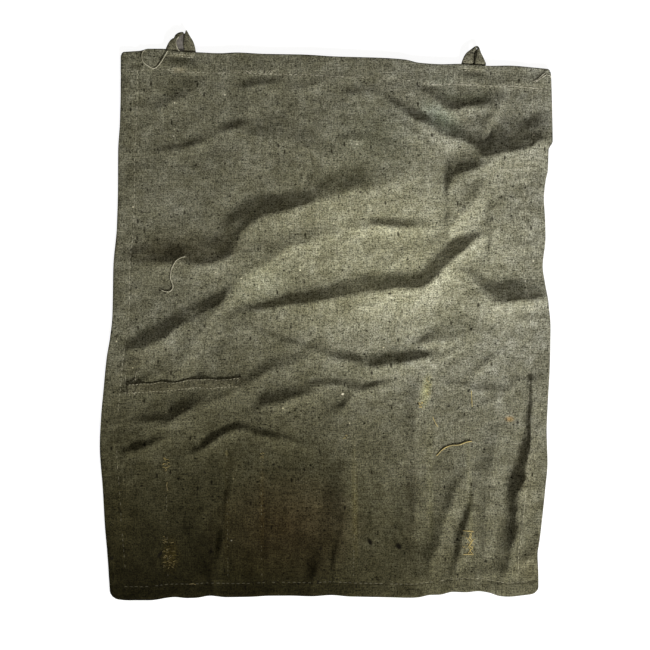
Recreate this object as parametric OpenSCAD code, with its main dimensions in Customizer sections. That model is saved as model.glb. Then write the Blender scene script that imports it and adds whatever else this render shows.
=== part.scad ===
// Small cloth mail sack, empty and lying flat on a surface, face up.
// X runs across the sack, Y runs from the bottom seam to the mouth, and Z is up.
// The origin is under the middle of the sack, on the surface that it lies on.
// All sizes are in millimetres.

/* [Sack] */
// Width across the widest part
sack_w = 452; // [400:2:520]
// Length from the lowest point of the bottom seam to the highest point of the mouth
sack_l = 550; // [480:2:640]
// Thickness of the linen canvas
cloth_t = 0.8; // [0.6:0.1:1.0]
// How far the front bows up off the back in the middle
crown = 13; // [10:1:18]
// Share of the crown that is left at the mouth
mouth_share = 0.6; // [0.55:0.05:1]

/* [Hems and seams] */
// Depth of the turned hem at the mouth
hem_d = 19; // [16:1:24]
// Width of the left side seam, edge to stitching
left_seam_w = 18; // [14:1:21]
// Width of the right side seam, edge to stitching
right_seam_w = 21; // [17:1:24]
// Width of the bottom seam, edge to stitching
bottom_seam_w = 15; // [12:1:18]
// Length of one stitch and the gap after it
stitch_pitch = 5; // [4:0.5:7]

/* [Hanging loops] */
// Width of the folded tape that the loops are made of
tape_w = 11; // [9:0.5:12]
// How far the left loop stands out past the mouth
left_loop_l = 22.5; // [18:0.5:26]
// How far the right loop stands out past the mouth
right_loop_l = 19.5; // [17:0.5:24]

/* [Stay tape] */
// Length of the narrow tape sewn to the front
stay_l = 114; // [90:2:130]
// Width of that tape
stay_w = 9.5; // [8:0.5:12]

/* [Inner pockets] */
// Height of the divided pocket cloth inside the front
pocket_h = 132; // [110:2:150]

/* [Hidden] */
layer_gap = 0.12;      // air between two layers of cloth that lie on each other
thread_w = 0.8;        // width of the sewing thread
thread_t = 0.5;        // its height, pressed flat
loose_thread_d = 0.9;  // diameter of a loose end
mouth_corner_r = 3.5;  // rounding of the two corners beside the mouth
corner_r = 7;          // rounding of the two closed corners
seam_layers = 2;       // turned edges inside a seam, between front and back

// The waves of the lying edges: [share of the way along, distance in from the straight edge].
left_wave = [[0, 10.5], [0.08, 7.6], [0.13, 5.2], [0.2, 3], [0.28, 0], [0.33, 1.2], [0.38, 3.6],
             [0.44, 6.8], [0.48, 10.4], [0.52, 12.6], [0.61, 13.6], [0.68, 17], [0.75, 18.1],
             [0.82, 18.3], [0.87, 20], [0.92, 20.8], [1, 21]];
right_wave = [[0, 13.8], [0.04, 14], [0.075, 14.8], [0.1, 12.8], [0.15, 9.7], [0.2, 7], [0.25, 4.8],
              [0.31, 5.6], [0.36, 4.6], [0.44, 2.4], [0.51, 1.8], [0.55, 3.6], [0.59, 7], [0.625, 9.6],
              [0.68, 6.8], [0.715, 7.2], [0.755, 8.4], [0.79, 6.6], [0.81, 4.4], [0.848, 4], [0.864, 0],
              [0.9, 0], [0.96, 0.6], [1, 1.6]];
bottom_wave = [[0, 2], [0.04, 0], [0.09, 0], [0.15, 3.2], [0.18, 2.2], [0.2, 2.5], [0.234, 4.6],
               [0.27, 3.1], [0.33, 3.5], [0.37, 4.5], [0.42, 4.6], [0.47, 4], [0.515, 5.2], [0.56, 3.8],
               [0.65, 3], [0.7, 2.5], [0.72, 3], [0.745, 5.2], [0.77, 5.6], [0.8, 8.4], [0.83, 8],
               [0.86, 9.1], [0.885, 7.6], [0.91, 4.2], [0.93, 3.6], [0.965, 5], [1, 7]];
mouth_wave = [[0, 3.4], [0.03, 2.5], [0.048, 1.8], [0.062, 0], [0.1, 0.1], [0.125, 1.8], [0.15, 3], [0.178, 3.6],
              [0.231, 4.6], [0.268, 3.9], [0.33, 5.2], [0.42, 5.9], [0.5, 7.9], [0.6, 9.1], [0.66, 10.8],
              [0.695, 14.2], [0.75, 15.6], [0.79, 15.2], [0.86, 17.2], [0.9, 16.9], [0.97, 19.2], [1, 20.5]];

// Pocket dividers: [distance from the middle, top end, bottom end], as rows of stitches along Y.
dividers = [[-160, -140, -262], [-102, -130, -262], [-67, -126, -262],
            [28, -138, -262], [101, -72, -262], [142, -76, -256]];
// Bar tacks in heavier thread: [x, y, length along Y].
bar_tacks = [[-160, -146, 12], [-160, -235, 30], [-67, -133, 16], [19, -121, 6], [97, -90, 20],
             [145, -82, 14], [143, -227, 25]];

// Hanging loops: [x, length, how far the point leans, slit between the legs, turn of the base].
left_place = [-143, left_loop_l, 3.5, 5.6, -4.5];
right_place = [147, right_loop_l, 3.5, 1.6, -1.5];
tape_t = 1.6;          // two layers of folded tape
tail_l = 14;           // ends sewn inside the hem
loop_out = 2.4;        // hinge line, past the mouth's edge

// The stay tape's left end, middle and right end, along its own centre line.
stay_left = [-198, -74];
stay_angle = 3.5;

// Routes of the loose thread ends over the front, [x, y].
thread_loop_route = [[-158, 263.5], [-160.2, 260], [-162.2, 256.2], [-164.6, 252.4], [-168.2, 248.2],
                     [-172, 246.2], [-176.8, 248], [-181, 250.8], [-183.4, 254.2], [-184, 258.5],
                     [-183, 262], [-180.6, 264.2]];
thread_curl_route = [[-140, 57.5], [-145, 56], [-150, 52.5], [-153.5, 47], [-155, 41], [-155, 35.5],
                     [-153, 30], [-153, 26], [-156, 23], [-160.5, 23], [-164.5, 24.5]];
thread_strand_route = [[110, -141], [115, -136], [120, -132.5], [126, -130.5], [133, -130],
                       [140, -127.5], [145.5, -126.5]];

canvas = [0.40, 0.39, 0.30];
canvas_inside = [0.46, 0.44, 0.35];
pale_thread = [0.68, 0.65, 0.54];
tack_thread = [0.62, 0.54, 0.30];

seam_z = cloth_t + seam_layers * (cloth_t + layer_gap) + layer_gap; // front's underside at a seam
columns = 20;
rows = 24;
seam_share_l = left_seam_w / sack_w;
seam_share_r = right_seam_w / sack_w;
seam_share_b = bottom_seam_w / sack_l;
low_edge = -sack_l / 2 - 10.5;           // the loops stand out of the mouth, so the body sits low
far_edge = low_edge + sack_l;

// --- Smooth curve through hand-placed points, without overshoot ---
function rate(p, i) = (p[i + 1][1] - p[i][1]) / (p[i + 1][0] - p[i][0]);
function tangent(p, i) =
    i == 0 ? rate(p, 0) :
    i == len(p) - 1 ? rate(p, i - 1) :
    let (a = rate(p, i - 1), b = rate(p, i)) a * b <= 0 ? 0 : 2 * a * b / (a + b);
function span(p, x, i = 0) = i >= len(p) - 2 || x < p[i + 1][0] ? i : span(p, x, i + 1);
function curve(p, x) =
    let (i = span(p, x), w = p[i + 1][0] - p[i][0], s = max(0, min(1, (x - p[i][0]) / w)))
    p[i][1] * (2 * s ^ 3 - 3 * s ^ 2 + 1) + w * tangent(p, i) * (s ^ 3 - 2 * s ^ 2 + s)
    + p[i + 1][1] * (3 * s ^ 2 - 2 * s ^ 3) + w * tangent(p, i + 1) * (s ^ 3 - s ^ 2);

// --- The sack's outline: u goes from left edge to right edge, v from bottom seam to mouth ---
function mix(a, b, t) = a + (b - a) * t;
function left_x(v) = -sack_w / 2 + curve(left_wave, v);
function right_x(v) = sack_w / 2 - curve(right_wave, v);
function bottom_y(u) = low_edge + curve(bottom_wave, u);
function mouth_y(u) = far_edge - curve(mouth_wave, u);
// A square corner drawn in to a round one: a and b are distances in from the two edges.
function rounded(a, b, r) =
    let (p = max(0, 1 - a / r), q = max(0, 1 - b / r))
    p > 0 && q > 0 ? r * (1 - p * sqrt(1 - q * q / 2)) : a;
function place(u, v) =
    let (x0 = left_x(v), x1 = right_x(v), y0 = bottom_y(u), y1 = mouth_y(u),
         a = min(u, 1 - u) * (x1 - x0), b = min(v, 1 - v) * (y1 - y0),
         r = v < 0.5 ? corner_r : mouth_corner_r, ra = rounded(a, b, r), rb = rounded(b, a, r))
    [u < 0.5 ? x0 + ra : x1 - ra, v < 0.5 ? y0 + rb : y1 - rb];
// The way back, from a point to its shares.
function locate(x, y, u = 0.5, n = 4) =
    let (v = (y - bottom_y(u)) / (mouth_y(u) - bottom_y(u)),
         better = (x - left_x(v)) / (right_x(v) - left_x(v)))
    n == 0 ? [better, v] : locate(x, y, better, n - 1);

// --- Height of the front panel's underside ---
function inward(u) = max(0, min(1, (u - seam_share_l) / (1 - seam_share_l - seam_share_r)));
function swell(v) =
    let (t = max(0, (v - seam_share_b) / (1 - seam_share_b)))
    t < 0.45 ? sin(90 * t / 0.45)
             : mix(mouth_share, 1, (1 + cos(180 * (t - 0.45) / 0.55)) / 2);
function front_z(u, v) = seam_z + crown * sin(180 * inward(u)) * swell(v);
// A point on the front panel's upper side, lifted clear of it.
function on_front(x, y, lift = 0) =
    let (s = locate(x, y)) [x, y, front_z(s[0], s[1]) + cloth_t + lift];

// --- Solids that follow the sack ---
function every(n, from, to) = [for (i = [0:n]) mix(from, to, i / n)];
// A closed sheet on the grid us x vs, between two heights given as functions of u and v.
module layer(us, vs, low, high) {
    nu = len(us);
    nv = len(vs);
    half = nu * nv;
    function at(i, j, side) = side * half + j * nu + i;
    points = [for (side = [low, high]) for (v = vs) for (u = us)
              let (p = place(u, v)) [p[0], p[1], side(u, v)]];
    tops = [for (j = [0:nv - 2]) for (i = [0:nu - 2])
            each [[at(i, j, 1), at(i, j + 1, 1), at(i + 1, j + 1, 1)],
                  [at(i, j, 1), at(i + 1, j + 1, 1), at(i + 1, j, 1)]]];
    unders = [for (j = [0:nv - 2]) for (i = [0:nu - 2])
              each [[at(i, j, 0), at(i + 1, j + 1, 0), at(i, j + 1, 0)],
                    [at(i, j, 0), at(i + 1, j, 0), at(i + 1, j + 1, 0)]]];
    ends = [for (i = [0:nu - 2])
            each [[at(i, 0, 0), at(i, 0, 1), at(i + 1, 0, 1)],
                  [at(i, 0, 0), at(i + 1, 0, 1), at(i + 1, 0, 0)],
                  [at(i, nv - 1, 0), at(i + 1, nv - 1, 1), at(i, nv - 1, 1)],
                  [at(i, nv - 1, 0), at(i + 1, nv - 1, 0), at(i + 1, nv - 1, 1)]]];
    sides = [for (j = [0:nv - 2])
             each [[at(0, j, 0), at(0, j + 1, 1), at(0, j, 1)],
                   [at(0, j, 0), at(0, j + 1, 0), at(0, j + 1, 1)],
                   [at(nu - 1, j, 0), at(nu - 1, j, 1), at(nu - 1, j + 1, 1)],
                   [at(nu - 1, j, 0), at(nu - 1, j + 1, 1), at(nu - 1, j + 1, 0)]]];
    polyhedron(points = points, faces = concat(tops, unders, ends, sides), convexity = 4);
}

// A tube round the points of a route, for a loose thread end.
function unit(a) = a / norm(a);
module tube(route, d, sides = 8) {
    n = len(route);
    function ahead(i) = unit(route[min(n - 1, i + 1)] - route[max(0, i - 1)]);
    points = [for (i = [0:n - 1])
              let (f = ahead(i), s = unit(cross([0, 0, 1], f)), t = cross(f, s))
              for (k = [0:sides - 1])
              route[i] + d / 2 * (s * cos(360 * k / sides) + t * sin(360 * k / sides))];
    walls = [for (i = [0:n - 2]) for (k = [0:sides - 1])
             let (a = i * sides + k, b = i * sides + (k + 1) % sides)
             each [[a, a + sides, b + sides], [a, b + sides, b]]];
    caps = [[for (k = [0:sides - 1]) k], [for (k = [sides - 1:-1:0]) (n - 1) * sides + k]];
    polyhedron(points = points, faces = concat(walls, caps), convexity = 4);
}
// A smooth curve through a route's points, n steps to each stretch.
function bend(a, b, c, d, t) =
    0.5 * (2 * b + (c - a) * t + (2 * a - 5 * b + 4 * c - d) * t ^ 2 + (3 * b - a - 3 * c + d) * t ^ 3);
function smooth_route(p, n = 2) =
    [for (i = [0:len(p) - 2]) for (k = [0:n - (i == len(p) - 2 ? 0 : 1)])
     bend(p[max(0, i - 1)], p[i], p[i + 1], p[min(len(p) - 1, i + 2)], k / n)];
module loose_thread(route) {
    color(pale_thread)
        tube([for (p = smooth_route(route)) on_front(p[0], p[1], loose_thread_d / 2 + 0.85)],
             loose_thread_d);
}

// One stitch, laid from a to b.
module stitch(a, b, w = thread_w, t = thread_t) {
    d = b - a;
    translate((a + b) / 2)
        rotate([0, -asin(d[2] / norm(d)), atan2(d[1], d[0])])
            cube([norm(d), w, t], center = true);
}
// A row of stitches down the points of a line on the front.
module row(line, pitch = stitch_pitch, lift = 0.45) {
    lengths = [for (i = [0:len(line) - 2]) norm(line[i + 1] - line[i])];
    function walk(s, i = 0) =
        i >= len(lengths) - 1 || s <= lengths[i] ? mix(line[i], line[i + 1], s / lengths[i])
                                                 : walk(s - lengths[i], i + 1);
    total = lengths * [for (l = lengths) 1];
    count = floor(total / pitch);
    for (k = [0:count - 1]) {
        a = walk((k + 0.1) * total / count);
        b = walk((k + 0.9) * total / count);
        stitch(on_front(a[0], a[1], lift), on_front(b[0], b[1], lift));
    }
}

// --- Body cloth ---
panel_us = concat([0], every(columns, seam_share_l, 1 - seam_share_r), [1]);
panel_vs = concat([0], every(rows, seam_share_b, 1));
perimeter = concat([for (u = panel_us) place(u, 0)], [for (v = panel_vs) if (v > 0) place(1, v)],
                   [for (i = [len(panel_us) - 2:-1:0]) place(panel_us[i], 1)],
                   [for (j = [len(panel_vs) - 2:-1:1]) place(0, panel_vs[j])]);

module back_panel() {
    color(canvas) linear_extrude(cloth_t) polygon(perimeter);
}
module front_panel() {
    color(canvas)
        layer(panel_us, panel_vs, function(u, v) front_z(u, v),
              function(u, v) front_z(u, v) + cloth_t);
}

// --- Turned hems and seams, which lie inside the sack ---
inset_u = 2 / sack_w;
inset_v = 2 / sack_l;
hem_us = every(columns, seam_share_l + inset_u, 1 - seam_share_r - inset_u);
hem_vs = every(2, 1 - hem_d / sack_l, 1 - inset_v);
turning_low = cloth_t + layer_gap;
turning_high = seam_z - layer_gap;

module front_mouth_hem() {
    color(canvas_inside)
        layer(hem_us, hem_vs, function(u, v) front_z(u, v) - cloth_t - layer_gap,
              function(u, v) front_z(u, v) - layer_gap);
}
module back_mouth_hem() {
    color(canvas_inside)
        layer(hem_us, hem_vs, function(u, v) turning_low, function(u, v) turning_low + cloth_t);
}
module turning(us, vs) {
    color(canvas_inside)
        layer(us, vs, function(u, v) turning_low, function(u, v) turning_high);
}
side_vs = every(rows, seam_share_b + inset_v / 2, 1 - inset_v);
module left_seam_turning() turning([inset_u, seam_share_l], side_vs);
module right_seam_turning() turning([1 - seam_share_r, 1 - inset_u], side_vs);
module bottom_seam_turning() turning(every(columns, inset_u * 2, 1 - inset_u * 2),
                                     [inset_v, seam_share_b]);

// --- Divided pocket cloth behind the lower front ---
pocket_us = every(columns, seam_share_l + inset_u, 1 - seam_share_r - inset_u);
pocket_top = seam_share_b + pocket_h / sack_l;
pocket_hem_d = 9;
module pocket_panel() {
    color(canvas_inside)
        layer(pocket_us, every(7, seam_share_b + inset_v / 2, pocket_top),
              function(u, v) front_z(u, v) - cloth_t * 0.7 - layer_gap,
              function(u, v) front_z(u, v) - layer_gap);
}
module pocket_top_hem() {
    color(canvas_inside)
        layer(pocket_us, every(1, pocket_top - pocket_hem_d / sack_l, pocket_top),
              function(u, v) front_z(u, v) - cloth_t * 1.4 - layer_gap * 3,
              function(u, v) front_z(u, v) - cloth_t * 0.7 - layer_gap * 3);
}

// --- Hanging loops: tape folded to a point, with its two legs side by side ---
function base_share(loop) = locate(loop[0], far_edge - 15)[0];
function base_y(loop) = place(base_share(loop), 1)[1];
function tail_top(u, v) = front_z(u, v) - cloth_t - 2 * layer_gap;
function base_z(loop) = tail_top(base_share(loop), 1) - tape_t / 2;

module loop_outline(length, lean, slit) {
    half = slit / 2 + tape_w;
    difference() {
        hull() {
            for (side = [-1, 1]) translate([side * (half - 1), 1]) circle(1, $fn = 16);
            for (side = [-1, 1]) translate([side * (half - 4.2), length * 0.56]) circle(3, $fn = 24);
            translate([lean, length - 1.2]) circle(1.2, $fn = 16);
        }
        hull() {
            translate([-slit / 2, -1]) square([slit, 1]);
            translate([lean / 3, length * 0.6]) circle(slit / 2.4, $fn = 24);
        }
    }
}
module loop(place_of) {
    color(canvas)
        translate([place_of[0], base_y(place_of) + loop_out, base_z(place_of)])
            rotate(place_of[4])
                linear_extrude(tape_t, center = true)
                    loop_outline(place_of[1] - loop_out, place_of[2], place_of[3]);
}
// The two sewn-in ends, which follow the underside of the mouth's hem and stop just short of the hinge.
module loop_tails(place_of) {
    reach = (loop_out - tape_t / 2 - 1.1) / sack_l;
    color(canvas_inside)
        for (side = [-1, 1]) {
            middle = place_of[0] + side * (place_of[3] + tape_w) / 2;
            us = [for (x = [middle - tape_w / 2, middle + tape_w / 2]) locate(x, far_edge - 15)[0]];
            layer([us[0], (us[0] + us[1]) / 2, us[1]], [1 - tail_l / sack_l, 1 - 4 / sack_l, 1 + reach],
                  function(u, v) tail_top(u, min(1, v)) - tape_t, function(u, v) tail_top(u, min(1, v)));
        }
}
module left_loop() loop(left_place);
module right_loop() loop(right_place);
module left_loop_tails() loop_tails(left_place);
module right_loop_tails() loop_tails(right_place);

// --- Narrow stay tape on the front, at the left ---
stay_dir = [cos(stay_angle), sin(stay_angle)];
stay_across = [-stay_dir[1], stay_dir[0]];
function stay_point(s, side) = stay_left + stay_dir * s + stay_across * side * stay_w / 2;
module stay_tape() {
    steps = 12;
    lift = 0.3;
    points = [for (z = [0, cloth_t]) for (i = [0:steps]) for (side = [-1, 1])
              let (p = stay_point(stay_l * i / steps, side)) on_front(p[0], p[1], lift + z)];
    n = 2 * (steps + 1);
    along = [for (i = [0:steps - 1])
             let (a = 2 * i, b = a + 1, c = a + 3, d = a + 2)
             each [[a, b, c, d], [a + n, d + n, c + n, b + n],
                   [a, d, d + n, a + n], [b, b + n, c + n, c]]];
    close = [[0, n, n + 1, 1], [n - 2, n - 1, 2 * n - 1, 2 * n - 2]];
    color(canvas)
        polyhedron(points = points, convexity = 4,
                   faces = [for (f = concat(along, close)) each [[f[0], f[1], f[2]], [f[0], f[2], f[3]]]]);
}

// --- Stitching ---
mouth_row = [for (u = every(16, 0.012, 0.985))
             let (p = place(u, 1)) [p[0], p[1] - hem_d]];
left_row = [for (v = every(16, 0.035, 0.965))
            let (p = place(0, v)) [p[0] + left_seam_w - 1.5, p[1]]];
right_row = [for (v = every(16, 0.035, 0.96))
             let (p = place(1, v)) [p[0] - right_seam_w + 1.5, p[1]]];
bottom_row = [for (u = every(16, 0.05, 0.97))
              let (p = place(u, 0)) [p[0], p[1] + bottom_seam_w - 1.5]];
module mouth_stitching() color(pale_thread) row(mouth_row);
module left_seam_stitching() color(pale_thread) row(left_row);
module right_seam_stitching() color(pale_thread) row(right_row);
module bottom_seam_stitching() color(pale_thread) row(bottom_row);
module stay_tape_stitching() {
    stay_lift = cloth_t + 0.75;
    color(pale_thread) {
        for (side = [-0.8, 0.8])
            row([for (s = [2:(stay_l - 4) / 8:stay_l - 2]) stay_point(s, side)], 3.5, stay_lift);
        row([stay_point(stay_l - 8, -0.6), stay_point(stay_l - 3, 0.6)], 3.5, stay_lift + thread_t);
    }
}
module loop_tack(place_of) {
    ends = [for (side = [-1, 1]) place(locate(place_of[0] + 11 * side, far_edge - 15)[0], 1)];
    color(pale_thread) row([for (p = ends) [p[0], p[1] - 4]], 2.75);
}
module left_loop_tack() loop_tack(left_place);
module right_loop_tack() loop_tack(right_place);
module pocket_divider_stitching() {
    color(pale_thread)
        for (d = dividers) row([[d[0], d[1]], [d[0] - (d[0] > 140 ? 3 : 0), d[2]]]);
}
module pocket_bar_tacks() {
    bar_lift = 0.45 + thread_t + 0.1;
    color(tack_thread)
        for (t = bar_tacks) {
            for (k = [0:floor(t[2] / 2.4)]) {
                y = t[1] + t[2] / 2 - k * 2.4;
                stitch(on_front(t[0] - 1.8, y - 0.5, bar_lift), on_front(t[0] + 1.8, y + 0.5, bar_lift));
            }
        }
}
// Hand stitches that close the worn right corner of the mouth
module corner_mend() {
    color(pale_thread)
        for (k = [0:4]) {
            a = on_front(205 + 3.2 * k, 235.5 + 1.6 * k, 0.45);
            b = on_front(209 + 3 * k, 238.5 + 1.3 * k, 0.45);
            stitch(a, b);
        }
}

// --- Loose thread ends ---
module loose_thread_loop() loose_thread(thread_loop_route);
module loose_thread_curl() loose_thread(thread_curl_route);
module loose_thread_strand() loose_thread(thread_strand_route);

back_panel();
front_panel();
front_mouth_hem();
back_mouth_hem();
left_seam_turning();
right_seam_turning();
bottom_seam_turning();
pocket_panel();
pocket_top_hem();
left_loop();
right_loop();
left_loop_tails();
right_loop_tails();
stay_tape();
mouth_stitching();
left_seam_stitching();
right_seam_stitching();
bottom_seam_stitching();
stay_tape_stitching();
left_loop_tack();
right_loop_tack();
pocket_divider_stitching();
pocket_bar_tacks();
corner_mend();
loose_thread_loop();
loose_thread_curl();
loose_thread_strand();
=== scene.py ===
"""A small cloth mail sack lying flat, face up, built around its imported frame.

The cloth, tape, stitches and threads are made here and stand for the frame's plain solids. Lengths are in
millimetres until a mesh is made. +X is to the sack's right, +Y is towards its mouth, and +Z is up.
"""
import math
import random
import bpy
import numpy as np
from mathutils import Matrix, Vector


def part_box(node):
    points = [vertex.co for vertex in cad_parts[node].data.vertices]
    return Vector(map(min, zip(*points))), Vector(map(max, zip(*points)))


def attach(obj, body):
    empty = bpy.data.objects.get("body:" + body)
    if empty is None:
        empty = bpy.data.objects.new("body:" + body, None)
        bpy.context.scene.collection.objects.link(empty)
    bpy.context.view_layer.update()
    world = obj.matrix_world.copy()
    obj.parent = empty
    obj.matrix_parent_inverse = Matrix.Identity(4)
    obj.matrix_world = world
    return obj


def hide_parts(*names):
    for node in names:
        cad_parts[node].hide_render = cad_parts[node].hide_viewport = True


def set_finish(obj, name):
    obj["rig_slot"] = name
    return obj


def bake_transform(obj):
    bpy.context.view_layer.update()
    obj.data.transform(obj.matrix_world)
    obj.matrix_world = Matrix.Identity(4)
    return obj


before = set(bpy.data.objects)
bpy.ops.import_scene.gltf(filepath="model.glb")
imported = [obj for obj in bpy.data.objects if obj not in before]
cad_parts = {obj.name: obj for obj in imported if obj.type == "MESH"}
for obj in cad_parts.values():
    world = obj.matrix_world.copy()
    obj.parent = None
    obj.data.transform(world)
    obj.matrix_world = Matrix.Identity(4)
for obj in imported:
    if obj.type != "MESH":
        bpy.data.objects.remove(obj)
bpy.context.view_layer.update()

MM = 0.001
body_low, body_high = (np.array(corner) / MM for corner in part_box("front_panel"))

# ---------------------------------------------------------------- camera
CAMERA_HEIGHT = 3.2
VIEW_WIDTH = 0.650
VIEW_CENTRE = (-0.001, -0.0105)

camera = bpy.data.objects.new("camera", bpy.data.cameras.new("camera"))
bpy.context.collection.objects.link(camera)
camera.location = (*VIEW_CENTRE, CAMERA_HEIGHT)
camera.data.sensor_width = 36
camera.data.lens = 36 * CAMERA_HEIGHT / VIEW_WIDTH
camera.data.clip_end = 20
bpy.context.scene.camera = camera

# ---------------------------------------------------------------- sizes
CLOTH = 0.8             # thickness of the canvas
GAP = 0.12              # air between layers that lie on each other
TURNED = 0.55           # thickness of the seams' turned edges
POCKET_CLOTH = 0.56     # and of the pocket cloth
TAPE = 1.1              # and of the loops' tape, whose sewn-in ends are pressed as thick as TAPE_DOUBLED
TAPE_DOUBLED = 1.4
LINING = 0.6            # and of the face seen inside each loop
SEAM_Z = 2.76           # underside of the front where it lies on the seams' turned edges
CROWN = 7.8             # how far the front bows up in the middle
FULLEST = 0.45          # how far up from the bottom it is fullest, as a share
MOUTH_SHARE = 0.2       # share of the crown that is left at the mouth
HEM = 19.0              # depth of the mouth's hem
LEFT_SEAM = 18.0        # widths of the seams, from the edge to just past the stitching
RIGHT_SEAM = 21.0
BOTTOM_SEAM = 15.0
MOUTH_CORNER = 3.5      # rounding of the corners beside the mouth
CORNER = 7.0            # rounding of the closed corners
THREAD = 0.9            # diameter of the loose thread ends
SEWN_THREAD = 0.62      # diameter of the thread where it is sewn down
LOWEST_FRONT = 1.55     # the front's cloth never comes lower than this, so that it clears the back

# The waves of the edges: (share of the way along, distance in from the frame's box). The same are in the
# part's source, so that the plain solids lie under the cloth.
LEFT_WAVE = [(0, 10.5), (0.08, 7.6), (0.13, 5.2), (0.2, 3), (0.28, 0), (0.33, 1.2), (0.38, 3.6),
             (0.44, 6.8), (0.48, 10.4), (0.52, 12.6), (0.61, 13.6), (0.68, 17), (0.75, 18.1),
             (0.82, 18.3), (0.87, 20), (0.92, 20.8), (1, 21)]
RIGHT_WAVE = [(0, 13.8), (0.04, 14), (0.075, 14.8), (0.1, 12.8), (0.15, 9.7), (0.2, 7), (0.25, 4.8),
              (0.31, 5.6), (0.36, 4.6), (0.44, 2.4), (0.51, 1.8), (0.55, 3.6), (0.59, 7), (0.625, 9.6),
              (0.68, 6.8), (0.715, 7.2), (0.755, 8.4), (0.79, 6.6), (0.81, 4.4), (0.848, 4), (0.864, 0),
              (0.9, 0), (0.96, 0.6), (1, 1.6)]
BOTTOM_WAVE = [(0, 2), (0.04, 0), (0.09, 0), (0.15, 3.2), (0.18, 2.2), (0.2, 2.5), (0.234, 4.6),
               (0.27, 3.1), (0.33, 3.5), (0.37, 4.5), (0.42, 4.6), (0.47, 4), (0.515, 5.2), (0.56, 3.8),
               (0.65, 3), (0.7, 2.5), (0.72, 3), (0.745, 5.2), (0.77, 5.6), (0.8, 8.4), (0.83, 8),
               (0.86, 9.1), (0.885, 7.6), (0.91, 4.2), (0.93, 3.6), (0.965, 5), (1, 7)]
MOUTH_WAVE = [(0, 3.4), (0.03, 2.5), (0.048, 1.8), (0.062, 0), (0.1, 0.1), (0.125, 1.8), (0.15, 3),
              (0.178, 3.6), (0.231, 4.6), (0.268, 3.9), (0.33, 5.2), (0.42, 5.9), (0.5, 7.9), (0.6, 9.1),
              (0.66, 10.8), (0.695, 14.2), (0.75, 15.6), (0.79, 15.2), (0.86, 17.2), (0.9, 16.9),
              (0.97, 19.2), (1, 20.5)]
BODY_TOP = 264.5        # the mouth's edge where its wave is 0


# ---------------------------------------------------------------- curves and noise
def wave(points, t):
    """A smooth curve through given (place, value) points, without overshoot."""
    x, y = np.array(points, float).T
    rate = np.diff(y) / np.diff(x)
    slope = np.concatenate([rate[:1], np.zeros(len(x) - 2), rate[-1:]])
    inner = rate[:-1] * rate[1:] > 0
    slope[1:-1][inner] = (2 * rate[:-1] * rate[1:])[inner] / (rate[:-1] + rate[1:])[inner]
    t = np.clip(t, x[0], x[-1])
    i = np.clip(np.searchsorted(x, t, side="right") - 1, 0, len(x) - 2)
    w = x[i + 1] - x[i]
    s = (t - x[i]) / w
    return (y[i] * (2 * s**3 - 3 * s**2 + 1) + y[i + 1] * (3 * s**2 - 2 * s**3)
            + w * (slope[i] * (s**3 - 2 * s**2 + s) + slope[i + 1] * (s**3 - s**2)))


def smooth(low, high, t):
    """0 at low, 1 at high, and eased between."""
    s = np.clip((t - low) / (high - low), 0, 1)
    return s * s * (3 - 2 * s)


def through(points, step=2.0):
    """A smooth line through points, sampled about every step."""
    p = np.array(points, float)
    p = np.vstack([2 * p[0] - p[1], p, 2 * p[-1] - p[-2]])
    line = []
    for a, b, c, d in zip(p, p[1:], p[2:], p[3:]):
        n = max(2, int(np.linalg.norm(c - b) / step))
        t = (np.arange(n) / n)[:, None]
        line.append(0.5 * (2 * b + (c - a) * t + (2 * a - 5 * b + 4 * c - d) * t**2
                           + (3 * b - a - 3 * c + d) * t**3))
    return np.vstack(line + [p[-2:-1]])


def length_along(line):
    return np.concatenate([[0], np.cumsum(np.linalg.norm(np.diff(line, axis=0), axis=1))])


def resample(line, spots):
    """Points at the given distances along a line."""
    s = length_along(line)
    return np.stack([np.interp(spots, s, line[:, k]) for k in range(line.shape[1])], axis=-1)


class Noise:
    """Smooth repeatable noise over the plane, from a few sets of waves."""

    def __init__(self, seed, size, stretch=(1, 1), waves=24):
        r = np.random.default_rng(seed)
        angle = r.uniform(0, 2 * np.pi, waves)
        pitch = size * r.uniform(0.7, 1.6, waves)
        self.k = 2 * np.pi / pitch[:, None] * np.stack([np.cos(angle), np.sin(angle)], -1) / np.array(stretch)
        self.phase = r.uniform(0, 2 * np.pi, waves)

    def __call__(self, x, y):
        total = np.zeros(np.broadcast(x, y).shape)
        for (kx, ky), phase in zip(self.k, self.phase):
            total += np.sin(kx * x + ky * y + phase)
        return total / math.sqrt(len(self.phase) / 2)


# ---------------------------------------------------------------- the sack's outline
def left_x(v):
    return body_low[0] + wave(LEFT_WAVE, v)


def right_x(v):
    return body_high[0] - wave(RIGHT_WAVE, v)


def bottom_y(u):
    return body_low[1] + wave(BOTTOM_WAVE, u)


def mouth_y(u):
    return BODY_TOP - wave(MOUTH_WAVE, u)


def rounded(a, b, size):
    """a, the distance in from one edge, drawn in where the other edge's distance b is small too."""
    p = np.clip(1 - a / size, 0, None)
    q = np.clip(1 - b / size, 0, 1)
    return np.where((p > 0) & (q > 0), size * (1 - p * np.sqrt(1 - q * q / 2)), a)


def place(u, v):
    """The point in plan at share u of the way across and v of the way up."""
    x0, x1, y0, y1 = left_x(v), right_x(v), bottom_y(u), mouth_y(u)
    a = np.minimum(u, 1 - u) * (x1 - x0)
    b = np.minimum(v, 1 - v) * (y1 - y0)
    size = np.where(v < 0.5, CORNER, MOUTH_CORNER)
    in_x, in_y = rounded(a, b, size), rounded(b, a, size)
    x = np.where(u < 0.5, x0 + in_x, x1 - in_x)
    y = np.where(v < 0.5, y0 + in_y, y1 - in_y)
    return x, y


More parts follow.
